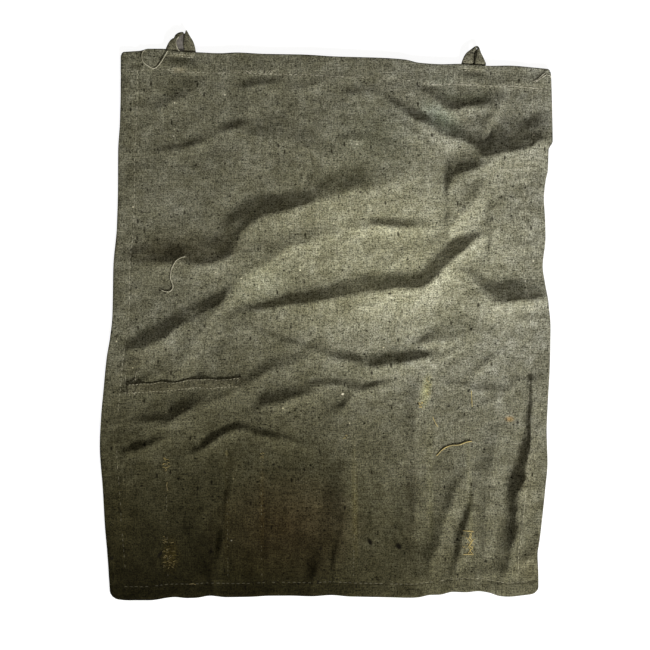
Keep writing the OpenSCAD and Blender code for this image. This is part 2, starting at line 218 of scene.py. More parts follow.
def locate(x, y):
    """The shares (u, v) of a point in plan."""
    u = np.full(np.broadcast(x, y).shape, 0.5)
    for _ in range(6):
        v = (y - bottom_y(u)) / (mouth_y(u) - bottom_y(u))
        u = (x - left_x(v)) / (right_x(v) - left_x(v))
    return u, v


# ---------------------------------------------------------------- the front's folds
# Each fold is a line of points along its crest: (x, y, height, width of its steep side, width of its long
# side). The steep side is on the left of the way along.
FOLDS = [
    # the faint creases at the upper left
    [(-112, 180, 0, 8, 16), (-84, 180, 1.6, 10, 22), (-50, 177, 2, 12, 26), (-20, 168, 2, 12, 24),
     (10, 152, 1.4, 10, 20), (36, 142, 0, 8, 16)],
    [(-178, 196, 0, 7, 10), (-165, 205, 1.6, 9, 14), (-152, 212, 1.9, 10, 16), (-140, 219, 1.4, 9, 14),
     (-126, 229, 1.2, 8, 12), (-110, 238, 0, 7, 10)],
    [(-92, 222, 0, 6, 10), (-78, 226, 2.2, 6, 14), (-62, 229, 3.2, 7, 16), (-50, 233, 3, 6, 14),
     (-40, 240, 0, 5, 10)],
    [(-78, 196, 0, 7, 10), (-77, 208, 2.2, 8, 12), (-78, 220, 2, 8, 12), (-82, 234, 0, 7, 10)],
    [(-42, 226, 0, 5, 10), (-28, 226, 2.2, 5, 14), (-14, 229, 2.2, 5, 14), (-2, 236, 0, 5, 10)],
    [(-112, 184, 0, 6, 10), (-98, 182, 2.2, 8, 14), (-84, 186, 2, 8, 14), (-70, 196, 0, 6, 10)],
    [(-176, 158, 0, 6, 10), (-158, 163, 1.6, 6, 14), (-140, 167, 2.2, 6, 16), (-124, 172, 2, 6, 14),
     (-106, 180, 0, 6, 10)],
    [(10, 172, 0, 5, 10), (22, 173, 2, 6, 12), (40, 174, 1.4, 6, 12), (56, 172, 0, 5, 10)],
    [(12, 216, 0, 5, 10), (24, 219, 2, 5, 12), (44, 219, 1.4, 5, 12), (58, 222, 0, 5, 10)],
    # the long fold across the upper left, and the broad slope below it
    [(-206, 50, 0, 10, 18), (-182, 51, 3.4, 13, 25), (-160, 51, 4.8, 15, 30), (-140, 50, 5.8, 17, 34),
     (-120, 51, 6.6, 21, 38), (-104, 54, 7, 23, 42), (-92, 58, 6.8, 22, 46), (-87, 69, 6.6, 21, 50),
     (-84, 81, 6.4, 19, 52), (-76, 90, 6.2, 17, 54), (-62, 97, 6, 15, 58), (-42, 103, 5.8, 13, 60),
     (-20, 108, 5.6, 13, 60), (-6, 114, 6, 18, 60), (6, 118, 6.2, 22, 58), (24, 122, 5.8, 20, 54),
     (44, 127, 3.8, 15, 48), (66, 133, 2, 12, 40), (92, 140, 0, 10, 30)],
    # the fold that runs down to the left edge
    [(-220, -47, 0, 9, 18), (-200, -38, 3, 9, 26), (-182, -32, 4.6, 11, 32), (-166, -25, 5.2, 12, 36),
     (-150, -15, 4.8, 11, 38), (-135, -6, 4.2, 10, 36), (-120, 2, 3.8, 8, 32), (-108, 8, 3.2, 7, 28),
     (-99, 19, 2, 6, 24), (-92, 32, 0, 6, 20)],
    [(-168, -84, 0, 10, 10), (-150, -58, 1.8, 14, 16), (-134, -36, 2.6, 14, 18), (-121, -15, 2.6, 12, 18),
     (-110, 2, 1.6, 8, 14), (-102, 14, 0, 6, 10)],
    # the bright slope in the middle
    [(-112, -2, 0, 8, 12), (-96, 22, 2.4, 12, 20), (-80, 38, 3.6, 16, 24), (-60, 52, 4, 17, 28),
     (-40, 65, 4, 12, 30), (-15, 74, 3, 9, 30), (15, 82, 0, 8, 26)],
    # the sharpest fold, across the middle and up to the right
    [(-98, -2, 0, 3, 10), (-80, 1.5, 1.6, 4, 20), (-60, 5, 2.6, 5, 28), (-40, 8, 3.6, 7, 34),
     (-20, 11, 4.4, 8, 40), (0, 14, 5, 9, 46), (20, 17, 5.8, 12, 50), (40, 21, 6.4, 14, 52),
     (60, 23, 6.6, 14, 50), (80, 25, 6.4, 13, 46), (95, 27, 6, 10, 40), (109, 37, 5.8, 9, 34),
     (119, 48, 6, 9, 30), (128, 57, 6, 9, 28), (138, 65, 5, 8, 24), (149, 74, 3, 6, 18),
     (162, 82, 0, 3, 12)],
    # small folds above it
    [(14, 84, 0, 6, 10), (30, 87, 1.6, 7, 12), (46, 89, 3, 7, 16), (62, 87.5, 3.6, 7, 18),
     (76, 86.5, 3.6, 7, 18), (90, 88, 2.4, 7, 16), (106, 84, 0, 6, 12)],
    [(119, 74, 0, 3, 10), (124, 87, 2.6, 7, 26), (135, 100, 4.6, 16, 28), (146, 112, 5.4, 26, 26),
     (155, 124, 4.8, 28, 22), (162, 138, 2.6, 18, 18), (168, 152, 0, 8, 14)],
    [(121, 78, 0, 2.5, 10), (122, 98, 1.6, 3.5, 16), (123, 122, 2.6, 3.5, 18), (124, 142, 2.4, 3.5, 18),
     (126, 158, 0, 3, 12)],
    [(122, 128, 0, 5, 10), (134, 139, 2.4, 5.5, 12), (146, 146, 3, 6, 14), (158, 149, 2.4, 5.5, 14),
     (170, 153, 0, 5, 12)],
    [(165, 46, 0, 3, 8), (165.5, 62, 2.4, 4, 16), (165, 88, 3, 4.5, 20), (165, 110, 2.6, 4, 20),
     (164, 126, 0, 4, 16)],
    # the dark hollow that runs to the right edge
    [(126, 50, 0, 4, 12), (138, 39, 3.4, 7, 20), (149, 29, 5.4, 10, 24), (159, 18, 7, 14, 26),
     (168, 11, 8, 17, 26), (178, 10, 8, 17, 24), (190, 12, 7.6, 16, 24), (204, 14, 6.6, 14, 22),
     (216, 16, 6, 12, 20), (232, 18, 5, 10, 18)],
    # the band below the middle
    [(-92, -6, 0, 4, 12), (-70, -16, 1.4, 5, 18), (-45, -27, 1.8, 5, 22), (-20, -34, 1.8, 6, 22),
     (0, -41, 2.4, 6.5, 20), (18, -47, 3.4, 7, 19), (35, -50, 4.2, 7.5, 18), (60, -51, 4.6, 8, 18),
     (82, -49, 4.4, 7.5, 18), (98, -46, 3.8, 6.5, 17), (110, -41, 2, 5, 14), (118, -37, 0, 4, 12)],
    [(-24, -72, 0, 4, 10), (-10, -70, 2.4, 5, 12), (8, -71, 2.2, 5, 12), (28, -75, 2.2, 5, 12),
     (45, -75.5, 2.8, 5, 12), (58, -71, 2, 5, 12), (72, -65, 0, 4, 10)],
    [(6, -99, 0, 4, 8), (16, -93, 2, 5, 9), (24, -84, 1.8, 5, 9), (32, -78, 0, 4, 8)],
    # lower left
    [(-120, -92, 0, 8, 10), (-100, -80, 1.4, 9, 14), (-80, -70, 1.8, 10, 14), (-60, -60, 2, 10, 14),
     (-40, -52, 2, 9, 14), (-20, -44, 1.6, 8, 14), (0, -38, 0, 8, 10)],
    [(-74, -100, 0, 6, 12), (-62, -93, 2.2, 8, 16), (-50, -88, 4, 9, 18), (-38, -85, 4.6, 10, 18),
     (-26, -83, 4.4, 9, 18), (-14, -79, 3, 8, 16), (-2, -73, 0, 6, 12)],
    [(-198, -109, 0, 6, 12), (-181, -108, 2, 6, 18), (-166, -108, 3.4, 8, 22), (-152, -105, 4, 9, 24),
     (-140, -99, 3.8, 9, 24), (-130, -92, 2.8, 8, 22), (-116, -86, 1.4, 9, 18), (-96, -79, 0, 8, 12)],
    [(-142, -144, 0, 5, 8), (-126, -135, 2.2, 5, 12), (-112, -126.5, 3.2, 5, 14), (-100, -120, 3, 5, 16),
     (-90, -116, 2.8, 5, 16), (-80, -115.5, 3, 5, 16), (-70, -119, 2.8, 5, 16), (-58, -122.5, 2.8, 5, 14),
     (-44, -125.5, 2.6, 5, 14), (-28, -129, 1.6, 5, 12), (-10, -136, 0, 4, 10)],
    [(-208, -140, 0, 5, 8), (-194, -136, 2.2, 5, 14), (-180, -132, 2.8, 5, 16), (-164, -125, 1.6, 5, 14),
     (-144, -121, 0, 5, 10)],
    [(-206, -72, 0, 6, 8), (-188, -69, 1.6, 7, 14), (-168, -60, 1.2, 8, 14), (-138, -46, 0, 8, 12)],
    [(-138, -62, 0, 8, 10), (-124, -66, 1, 9, 14), (-104, -68, 1.1, 9, 14), (-84, -62, 0, 8, 12)],
    # upper right
    [(56, 246, 0, 6, 8), (72, 238, 1.6, 6, 14), (88, 228, 3.4, 7, 18), (102, 218.5, 4.4, 8, 18),
     (114, 209.5, 5, 10, 18), (126, 204.5, 5, 11, 16), (142, 206.5, 3.6, 8, 14), (156, 208.5, 3, 7, 12),
     (170, 210, 0, 6, 8)],
    [(48, 222, 0, 5, 10), (62, 212, 2.6, 6, 14), (76, 201.5, 4, 7, 20), (92, 193, 4.8, 8.5, 24),
     (108, 184.5, 5.4, 9.5, 24), (124, 176.5, 5.6, 10, 24), (140, 171, 4.4, 9, 18), (156, 164, 0, 6, 12)],
    [(56, 206, 0, 4, 8), (70, 192.5, 2.8, 5, 14), (82, 184, 3, 5, 16), (94, 174.5, 2.4, 6, 14),
     (104, 165, 2.4, 6, 12), (114, 155, 0, 5, 10)],
    [(138, 172, 0, 6, 12), (150, 164, 4, 10, 24), (160, 158, 8, 20, 36), (172, 159, 10, 27, 40),
     (186, 161, 10.5, 28, 40), (200, 165, 10, 26, 38), (214, 170, 9, 24, 34), (232, 176, 8, 22, 28)],
    [(155, 168, 0, 8, 7), (160, 181, 3.4, 14, 8), (168, 200, 4, 15, 9), (176, 218, 3, 14, 9),
     (184, 236, 0, 12, 8)],
    # the long fold beside the right edge
    [(176, -279, 0, 8, 14), (181, -256, 3.6, 8, 18), (185, -238, 5.2, 9, 22), (190, -218, 6.4, 10, 24),
     (193, -196, 6.6, 10, 24), (195, -174, 6.4, 9.5, 24), (199, -158, 5.8, 8.5, 22),
     (203, -144, 5.2, 6.5, 20), (205.5, -128, 4.6, 5.2, 18), (206.5, -108, 4.4, 5, 18),
     (206.5, -88, 4.2, 5, 16), (206, -72, 3, 5, 14), (205, -60, 0, 4, 10)],
    # the upright folds over the pocket
    [(156, -272, 0, 10, 12), (160, -228, 3, 11, 13), (162, -190, 3.8, 11, 14), (166, -150, 3.8, 10, 16),
     (170, -122, 3, 9, 16), (174, -104, 0, 8, 12)],
    [(127, -276, 0, 5, 12), (133, -242, 3.8, 6, 16), (140, -212, 4, 6, 16), (146, -188, 3, 6, 16),
     (151, -160, 0, 5, 12)],
    [(103, -276, 0, 8, 10), (108, -247, 3.2, 9, 14), (115, -222, 3.8, 10, 15), (123, -196, 3.6, 10, 15),
     (131, -172, 2.4, 9, 13), (136, -154, 0, 8, 10)],
    [(90, -150, 0, 6, 12), (89, -124, 1.8, 7, 18), (89, -94, 3.2, 7, 20), (91, -74, 2.4, 7, 18),
     (94, -56, 0, 6, 12)],
    [(88, -230, 0, 10, 10), (89, -206, 3.4, 14, 12), (88, -186, 3.2, 13, 12), (86, -162, 0, 10, 10)],
    [(18, -226, 0, 10, 10), (18, -206, 3.8, 15, 12), (17, -186, 4, 15, 12), (16, -166, 2.6, 13, 10),
     (14, -146, 0, 10, 10)],
    [(8, -279, 0, 4, 10), (9, -258, 2.2, 4.5, 12), (11, -241, 3.2, 5, 14), (15, -226, 2, 5, 12),
     (21, -212, 0, 4, 10)],
    [(-11, -280, 1, 6, 10), (-9, -262, 3.8, 8, 12), (-10, -248, 4.2, 8, 12), (-16, -234, 3, 7, 12),
     (-26, -220, 1.6, 6, 12), (-37, -206, 0, 5, 10)],
    [(-96, -206, 0, 4, 10), (-96, -186, 2, 4, 14), (-95, -168, 1.8, 4, 14), (-95, -150, 0, 4, 10)],
    [(-110, -260, 0, 5, 8), (-106, -245, 2.6, 5, 10), (-104, -228, 2.6, 5, 10), (-102, -212, 0, 5, 8)],
    [(-111, -280, 1.5, 6, 10), (-112, -263, 4, 8, 12), (-117, -248, 4.6, 9, 12), (-126, -230, 4.4, 8, 14),
     (-135, -214, 3.2, 6, 14), (-147, -198, 1.2, 5, 12), (-160, -184, 0, 5, 10)],
    # small folds at the right
    [(190, -252, 0, 6, 8), (202, -244, 2.6, 7, 16), (214, -234, 2.4, 7, 16), (226, -222, 0, 6, 12)],
    [(150, -96, 0, 4, 6), (168, -87, 1.4, 5, 8), (184, -76, 1.4, 5, 8), (201, -60, 0, 4, 6)],
    [(102, -64, 0, 3, 8), (120, -69, 1, 3, 10), (140, -73, 1.4, 4, 10), (165, -77, 1.6, 4, 10),
     (190, -72, 0, 3, 8)],
    [(88, -31, 0, 5, 10), (99, -28, 3, 7, 14), (112, -28, 3.8, 13, 16), (128, -25, 3.2, 15, 16),
     (146, -19, 1.8, 13, 14), (164, -12, 0, 10, 10)],
    [(100, -54, 0, 4, 6), (114, -45, 1.8, 5, 8), (128, -36, 1.8, 5, 8), (146, -26, 0, 4, 6)],
    [(138, -64, 0, 4, 6), (150, -56, 1.2, 5, 8), (164, -46, 1.2, 5, 8), (184, -34, 0, 4, 6)],
]


STEEP_REACH = 1.45      # how far a steep side runs out, in widths
STEEP_POWER = 1.4       # how it curves on the way: 1 is a plane
LONG_POWER = 2          # the same for the long side
FOLD_RISE = 1.38        # the folds' heights are multiplied by this,
POCKET_RISE = 0.32      # and by this much more over the pocket


def crest(x, y, points):
    """One fold's height over the plane, other than 0 only within reach of its crest."""
    line = through(points, 4.0)
    heights = [p[2] for p in points]
    line[:, 2] = np.clip(line[:, 2], min(heights), max(heights))
    best = np.full(x.shape, 1e9)
    left = np.zeros(x.shape, bool)
    size = np.zeros((3, *x.shape))
    for a, b in zip(line, line[1:]):
        d = b[:2] - a[:2]
        t = np.clip(((x - a[0]) * d[0] + (y - a[1]) * d[1]) / (d @ d), 0, 1)
        ox, oy = x - a[0] - t * d[0], y - a[1] - t * d[1]
        gap = np.hypot(ox, oy)
        near = gap < best
        best[near] = gap[near]
        left[near] = (d[0] * oy - d[1] * ox > 0)[near]
        for k in range(3):
            size[k][near] = (a[k + 2] + t * (b[k + 2] - a[k + 2]))[near]
    steep = np.clip(1 - best / (STEEP_REACH * size[1]), 0, 1) ** STEEP_POWER
    long = np.clip(1 - best / size[2], 0, 1) ** LONG_POWER
    return size[0] * np.where(left, steep, long)


coarse_noise = Noise(3, 70)
fine_noise = Noise(5, 22)
slant_noise = Noise(31, 12, stretch=(4, 1))
slant_crease = Noise(32, 30, stretch=(3, 1))
upright_noise = Noise(33, 13, stretch=(1, 5))
upright_crease = Noise(34, 26, stretch=(1, 4))


def wrinkles(x, y):
    """The fine wrinkles: slanting across the middle, level near the mouth, and upright over the pocket."""
    turn = np.radians(26) * smooth(250, 120, y)
    sx, sy = x * np.cos(turn) + y * np.sin(turn), y * np.cos(turn) - x * np.sin(turn)
    slanting = 0.09 * slant_noise(sx, sy) - 0.22 * np.abs(slant_crease(sx, sy))
    upright = 0.17 * upright_noise(x, y) - 0.7 * np.abs(upright_crease(x + 0.15 * y, y))
    over_pocket = smooth(-90, -150, y)
    return slanting * (1 - over_pocket) + upright * over_pocket


# Over the loops' sewn-in ends the hem is drawn down by the stitches, and raised behind them:
# (distance from the mouth, height).
TACKED = [(0, 0.7), (2, 0.6), (4.5, -0.3), (8, 0.4), (12, 1.2), (15, 1), (22, 0), (30, 0)]
TACKS = [(-160, -130), (135, 159)]      # where the loops are, along the mouth


def over_tacks(x, mouth):
    near = sum(smooth(low - 4, low + 2, x) * smooth(high + 4, high - 2, x) for low, high in TACKS)
    return near * wave(TACKED, mouth)


warp_x, warp_y = Noise(11, 34), Noise(12, 34)
pucker_x = Noise(8, 16, stretch=(3, 1))
pucker_y = Noise(9, 13, stretch=(3, 1))


def edge_distances(u, v):
    """Distances from the left, right, bottom and mouth edges."""
    x0, x1, y0, y1 = left_x(v), right_x(v), bottom_y(u), mouth_y(u)
    return u * (x1 - x0), (1 - u) * (x1 - x0), v * (y1 - y0), (1 - v) * (y1 - y0)


def raised(x, y, u, v):
    """How far the front is raised over its flat state: a low crown, and the folds."""
    left, right, bottom, mouth = edge_distances(u, v)
    inward = np.clip((left - LEFT_SEAM) / (left + right - LEFT_SEAM - RIGHT_SEAM), 0, 1)
    up = np.clip((bottom - BOTTOM_SEAM) / (bottom + mouth - BOTTOM_SEAM), 0, None)
    above = (1 + np.cos(np.pi * np.clip((up - FULLEST) / (1 - FULLEST), 0, 1))) / 2
    swell = np.where(up < FULLEST, np.sin(np.pi / 2 * np.clip(up / FULLEST, 0, 1)),
                     MOUTH_SHARE + (1 - MOUTH_SHARE) * above)
    dome = CROWN * np.sin(np.pi * inward) * swell
    held = (smooth(-12, 20, left) * smooth(-14, 18, right) * smooth(-8, 20, bottom)
            * (0.3 + 0.7 * smooth(-6, 24, mouth - HEM)))
    wx, wy = x + 0.9 * warp_x(x, y), y + 0.9 * warp_y(x, y)
    folds = (FOLD_RISE + POCKET_RISE * smooth(-90, -150, y)) * sum(crest(wx, wy, fold) for fold in FOLDS)
    return dome + held * (folds + 0.7 * coarse_noise(x, y) + 0.18 * fine_noise(x, y) + wrinkles(x, y))


def front_z(rise, x, y, u, v):
    """Height of the middle of the front panel's cloth."""
    left, right, bottom, mouth = edge_distances(u, v)
    z = SEAM_Z + CLOTH / 2 + rise
    # small waves that the stitching draws up along each seam
    near_side = np.exp(-np.abs(left - LEFT_SEAM) / 12) + np.exp(-np.abs(right - RIGHT_SEAM) / 12)
    near_end = np.exp(-np.abs(bottom - BOTTOM_SEAM) / 12) + np.exp(-np.abs(mouth - HEM) / 12)
    z = z + 0.5 * near_side * pucker_y(x, y) + 0.4 * near_end * pucker_x(x, y) + over_tacks(x, mouth)
    # grooves under the rows of stitches, and the step at the hem's inner edge
    for gap in (left - LEFT_SEAM + 1.5, right - RIGHT_SEAM + 1.5, bottom - BOTTOM_SEAM + 1.5, mouth - HEM):
        z = z - 0.5 * np.exp(-(gap / 1.4) ** 2)
    z = z - 0.8 * smooth(0, 3, mouth - HEM)
    # the closed edges roll down to meet the back
    for gap in (left, right, bottom):
        z = z - (SEAM_Z - CLOTH - 0.3) * (1 - np.sqrt(1 - np.clip(1 - gap / 3.5, 0, 1) ** 2))
    return np.maximum(z, LOWEST_FRONT)


def back_z(rise, u, v):
    """Height of the middle of the back panel's cloth: flat, but lifted with the front where they are sewn."""
    left, right, bottom, _ = edge_distances(u, v)
    apart = (smooth(0, 26, left - LEFT_SEAM) * smooth(0, 26, right - RIGHT_SEAM)
             * smooth(0, 26, bottom - BOTTOM_SEAM))
    z = CLOTH / 2 + 0.02 + np.clip(rise, 0, None) * (1 - apart)
    for gap in (left, right, bottom):
        z = z + 0.25 * (1 - np.sqrt(1 - np.clip(1 - gap / 3, 0, 1) ** 2))
    return z


# ---------------------------------------------------------------- mesh helpers
def make_object(name, points, faces, uv=None):
    """A smooth mesh object; uv gives each point's place on the flat cloth, if it isn't its place in plan."""
    mesh = bpy.data.meshes.new(name)
    mesh.from_pydata((np.asarray(points) * MM).tolist(), [], faces)
    mesh.validate()
    layer = mesh.uv_layers.new(name="cloth")
    flat = np.asarray(points)[:, :2] if uv is None else np.asarray(uv)
    index = np.empty(len(mesh.loops), int)
    mesh.loops.foreach_get("vertex_index", index)
    layer.data.foreach_set("uv", (flat[index] * MM).astype(np.float32).ravel())
    mesh.polygons.foreach_set("use_smooth", [True] * len(mesh.polygons))
    obj = bpy.data.objects.new(name, mesh)
    bpy.context.collection.objects.link(obj)
    return obj


def grid_normals(p):
    across = np.gradient(p, axis=1)
    along = np.gradient(p, axis=0)
    n = np.cross(across, along)
    return n / np.maximum(np.linalg.norm(n, axis=-1, keepdims=True), 1e-9)


def sheet_parts(p, thickness):
    """Points and faces of a closed sheet from a grid of points through its middle, with a rounded rim."""
    rows, columns, _ = p.shape
    n = grid_normals(p)
    top, under = p + n * thickness / 2, p - n * thickness / 2
    ring = ([(0, i) for i in range(columns)] + [(j, columns - 1) for j in range(1, rows)]
            + [(rows - 1, i) for i in range(columns - 2, -1, -1)] + [(j, 0) for j in range(rows - 2, 0, -1)])
    ring = np.array(ring)
    inner = tuple(np.clip(ring, 1, [rows - 2, columns - 2]).T)
    ring = tuple(ring.T)
    out = p[ring] - p[inner]
    out = out / np.maximum(np.linalg.norm(out, axis=-1, keepdims=True), 1e-9)
    points = np.vstack([top.reshape(-1, 3), under.reshape(-1, 3), p[ring] + out * 0.3 * thickness])
    count = rows * columns
    at = np.arange(count).reshape(rows, columns)
    quads = np.stack([at[:-1, :-1], at[:-1, 1:], at[1:, 1:], at[1:, :-1]], -1).reshape(-1, 4)
    edge = at[ring]
    after = np.roll(edge, -1)
    rim = 2 * count + np.arange(len(edge))
    rim_after = np.roll(rim, -1)
    faces = np.vstack([quads, quads[:, ::-1] + count, np.stack([after, edge, rim, rim_after], -1),
                       np.stack([edge + count, after + count, rim_after, rim], -1)])
    return points, faces.tolist()


def thick_sheet(name, p, thickness, uv=None):
    """A closed sheet of cloth as an object; uv gives its flat places if they aren't its places in plan."""
    points, faces = sheet_parts(p, thickness)
    if uv is None:
        return make_object(name, points, faces)
    flat = uv.reshape(-1, 2)
    rim = len(points) - 2 * len(flat)
    ring = points[-rim:, :2]
    return make_object(name, points, faces, np.vstack([flat, flat, ring]))


def tube(points, radius, sides=8):
    """Vertices and faces of a closed tube along points."""
    p = np.asarray(points, float)
    ahead = np.gradient(p, axis=0)
    ahead /= np.linalg.norm(ahead, axis=1, keepdims=True)
    side = np.cross([0, 0, 1], ahead)
    side /= np.maximum(np.linalg.norm(side, axis=1, keepdims=True), 1e-9)
    up = np.cross(ahead, side)
    r = np.broadcast_to(radius, len(p))[:, None]
    turn = 2 * np.pi * np.arange(sides) / sides
    rings = [p + r * (side * math.cos(a) + up * math.sin(a)) for a in turn]
    points = np.stack(rings, 1).reshape(-1, 3)
    faces = []
    for i in range(len(p) - 1):
        for k in range(sides):
            a, b = i * sides + k, i * sides + (k + 1) % sides
            faces.append([a, b, b + sides, a + sides])
    faces.append(list(range(sides))[::-1])
    faces.append([(len(p) - 1) * sides + k for k in range(sides)])
    return points, faces


def join_parts(name, parts):
    """One object from many (points, faces) parts."""
    points, faces, start = [], [], 0
    for part_points, part_faces in parts:
        points.append(part_points)
        faces += [[i + start for i in face] for face in part_faces]
        start += len(part_points)
    return make_object(name, np.vstack(points), faces)


def piece(name, slot, obj):
    """The object stands for that node of the frame, and moves with the sack."""
    obj.name = name + "_sewn"
    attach(obj, "sack")
    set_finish(obj, slot)
    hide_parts(name)
    return obj


# ---------------------------------------------------------------- the panels' shared grid
GRID = 2.5              # spacing of the panels' grid
FINE_GRID = 1.0         # its spacing near the seams and the hem


def shares(length, finely):
    """Shares along an edge, spaced by GRID, and closer together near the given distances."""
    spots = [0.0]
    while spots[-1] < length:
        near = min(abs(spots[-1] - f) for f in finely)
        spots.append(spots[-1] + (FINE_GRID if near < 4 else GRID))
    return np.array(spots) / spots[-1]


class Surface:
    """A grid of points over shares (u, v), read anywhere between them."""

    def __init__(self, us, vs, points):
        self.us, self.vs, self.points = us, vs, points
        self.normals = grid_normals(points)

    def read(self, values, u, v):
        i = np.clip(np.searchsorted(self.us, u) - 1, 0, len(self.us) - 2)
        j = np.clip(np.searchsorted(self.vs, v) - 1, 0, len(self.vs) - 2)
        s = ((u - self.us[i]) / (self.us[i + 1] - self.us[i]))[..., None]
        t = ((v - self.vs[j]) / (self.vs[j + 1] - self.vs[j]))[..., None]
        return ((values[j, i] * (1 - s) + values[j, i + 1] * s) * (1 - t)
                + (values[j + 1, i] * (1 - s) + values[j + 1, i + 1] * s) * t)

    def at(self, u, v, lift=0.0):
        """Points off the surface by lift; a share past an edge goes on straight."""
        lift = np.asarray(lift, float)[..., None]
        return self.read(self.points, u, v) + self.read(self.normals, u, v) * lift


width, height = body_high[0] - body_low[0], BODY_TOP - body_low[1]
across = shares(width, [0, LEFT_SEAM - 1.5, width - RIGHT_SEAM + 1.5, width])
up = shares(height, [0, BOTTOM_SEAM - 1.5, height - HEM, height])
U, V = np.meshgrid(across, up)
X, Y = place(U, V)
rise = raised(X, Y, U, V)
front_surface = Surface(across, up, np.stack([X, Y, front_z(rise, X, Y, U, V)], -1))
back_surface = Surface(across, up, np.stack([X, Y, back_z(rise, U, V)], -1))


def on_front(x, y, lift=0.0):
    """Points lift above the front's outer face, over a place in plan."""
    u, v = locate(np.asarray(x, float), np.asarray(y, float))
    return front_surface.at(u, v, CLOTH / 2 + lift)


# ---------------------------------------------------------------- body cloth
def rolled(points, turn, way):
    """The grid with its mouth edge carried on round a small turn: up if way is 1, down if it is -1."""
    roll = []
    for a in np.radians([25, 50, 75, 105, 130, 155, 180]):
        ring = points[-1].copy()
        ring[:, 1] += turn * math.sin(a)
        ring[:, 2] += way * turn * (1 - math.cos(a)) * 0.62
        roll.append(ring)
    return np.vstack([points, np.stack(roll)])


def body_panel(name, surface, way):
    """A panel with its mouth edge turned in, way being up or down."""
    p = rolled(surface.points, 0.75, way)
    flat = p[..., :2].copy()
    extra = len(p) - len(surface.points)
    flat[-extra:, :, 1] = flat[-extra - 1, :, 1] + np.arange(1, extra + 1)[:, None] * 0.35
    return piece(name, "canvas", thick_sheet(name, p, CLOTH, flat))


def strip(surface, us, vs, lift):
    """A grid over part of a surface, lifted off it."""
    u, v = np.meshgrid(us, vs)
    return surface.at(u, v, lift)


front = body_panel("front_panel", front_surface, -1)
back = body_panel("back_panel", back_surface, 1)

# the hem's inner layer carries on from each panel's turned edge
hem_us = np.linspace((LEFT_SEAM + 2) / width, 1 - (RIGHT_SEAM + 2) / width, 150)
hem_vs = np.linspace(1 - HEM / height, 1, 9)
front_hem = piece("front_mouth_hem", "canvas_inside",
                  thick_sheet("front_hem", strip(front_surface, hem_us, hem_vs, -CLOTH - GAP), CLOTH))
back_hem = piece("back_mouth_hem", "canvas_inside",
                 thick_sheet("back_hem", strip(back_surface, hem_us, hem_vs, CLOTH + GAP), CLOTH))


def seam_turning(name, us, vs):
    """The two turned edges inside a closed seam, one on the other."""
    low, high = strip(back_surface, us, vs, CLOTH / 2), strip(front_surface, us, vs, -CLOTH / 2)
    parts = [sheet_parts(low + (high - low) * share, TURNED) for share in (0.27, 0.73)]
    return piece(name, "canvas_inside", join_parts(name, parts))


IN_U, IN_V = 3.2 / width, 3.2 / height
side_vs = np.linspace(BOTTOM_SEAM / height + IN_V, 1 - IN_V / 2, 90)
seam_turning("left_seam_turning", np.linspace(IN_U, LEFT_SEAM / width, 5), side_vs)
seam_turning("right_seam_turning", np.linspace(1 - RIGHT_SEAM / width, 1 - IN_U, 7), side_vs)
seam_turning("bottom_seam_turning", np.linspace(2 * IN_U, 1 - 2 * IN_U, 90),
             np.linspace(IN_V, BOTTOM_SEAM / height, 5))

# the divided pocket cloth, which lies against the front from inside
POCKET_TOP = -153.0
pocket_v = (POCKET_TOP - body_low[1]) / height
pocket_us = np.linspace((LEFT_SEAM + 2) / width, 1 - (RIGHT_SEAM + 2) / width, 150)
pocket_vs = np.linspace(BOTTOM_SEAM / height + IN_V, pocket_v, 46)
pocket = piece("pocket_panel", "canvas_inside",
               thick_sheet("pocket", strip(front_surface, pocket_us, pocket_vs, -0.92 * CLOTH), POCKET_CLOTH))
pocket_hem_strip = strip(front_surface, pocket_us, np.linspace(pocket_v - 9 / height, pocket_v, 5),
                         -1.75 * CLOTH)
pocket_hem = piece("pocket_top_hem", "canvas_inside",
                   thick_sheet("pocket_hem", pocket_hem_strip, POCKET_CLOTH))

# ---------------------------------------------------------------- stay tape
# The tape lies between these two points in plan.
STAY_LEFT, STAY_RIGHT = np.array([-198.5, -74.2]), np.array([-84, -67.3])
STAY_WIDTH = 9.6
STAY_LIFT = 0.42        # the middle of the tape's cloth, over the front
stay_along = (STAY_RIGHT - STAY_LEFT) / np.linalg.norm(STAY_RIGHT - STAY_LEFT)
stay_across = np.array([-stay_along[1], stay_along[0]])
stay_length = np.linalg.norm(STAY_RIGHT - STAY_LEFT)
stay_edge = Noise(21, 18)


def on_stay(s, t, lift=0.0):
    """A point on the tape, s along it and t across it from -1 to 1."""
    s, t = np.asarray(s, float), np.asarray(t, float)
    half = STAY_WIDTH / 2 + 0.5 * stay_edge(s, t * 3)
    sway = 0.9 * np.sin(np.pi * s / stay_length) - 0.5
    q = STAY_LEFT + stay_along * s[..., None] + stay_across * (t * half + sway)[..., None]
    crown = 0.25 * (1 - np.abs(t) ** 6) + 0.1 * stay_edge(s * 1.5, t * 6)
    return on_front(q[..., 0], q[..., 1], STAY_LIFT + crown + lift)


stay_s, stay_t = np.meshgrid(np.linspace(0, stay_length, 76),
                             [-1, -0.93, -0.8, -0.65, -0.3, 0, 0.3, 0.65, 0.8, 0.93, 1])
piece("stay_tape", "tape", thick_sheet("stay", on_stay(stay_s, stay_t), CLOTH))

# ---------------------------------------------------------------- hanging loops
def evenly(points, count):
    """Points evenly spaced along the smooth line through some points."""
    line = through(points, 0.5)
    return resample(line, np.linspace(0, length_along(line)[-1], count))


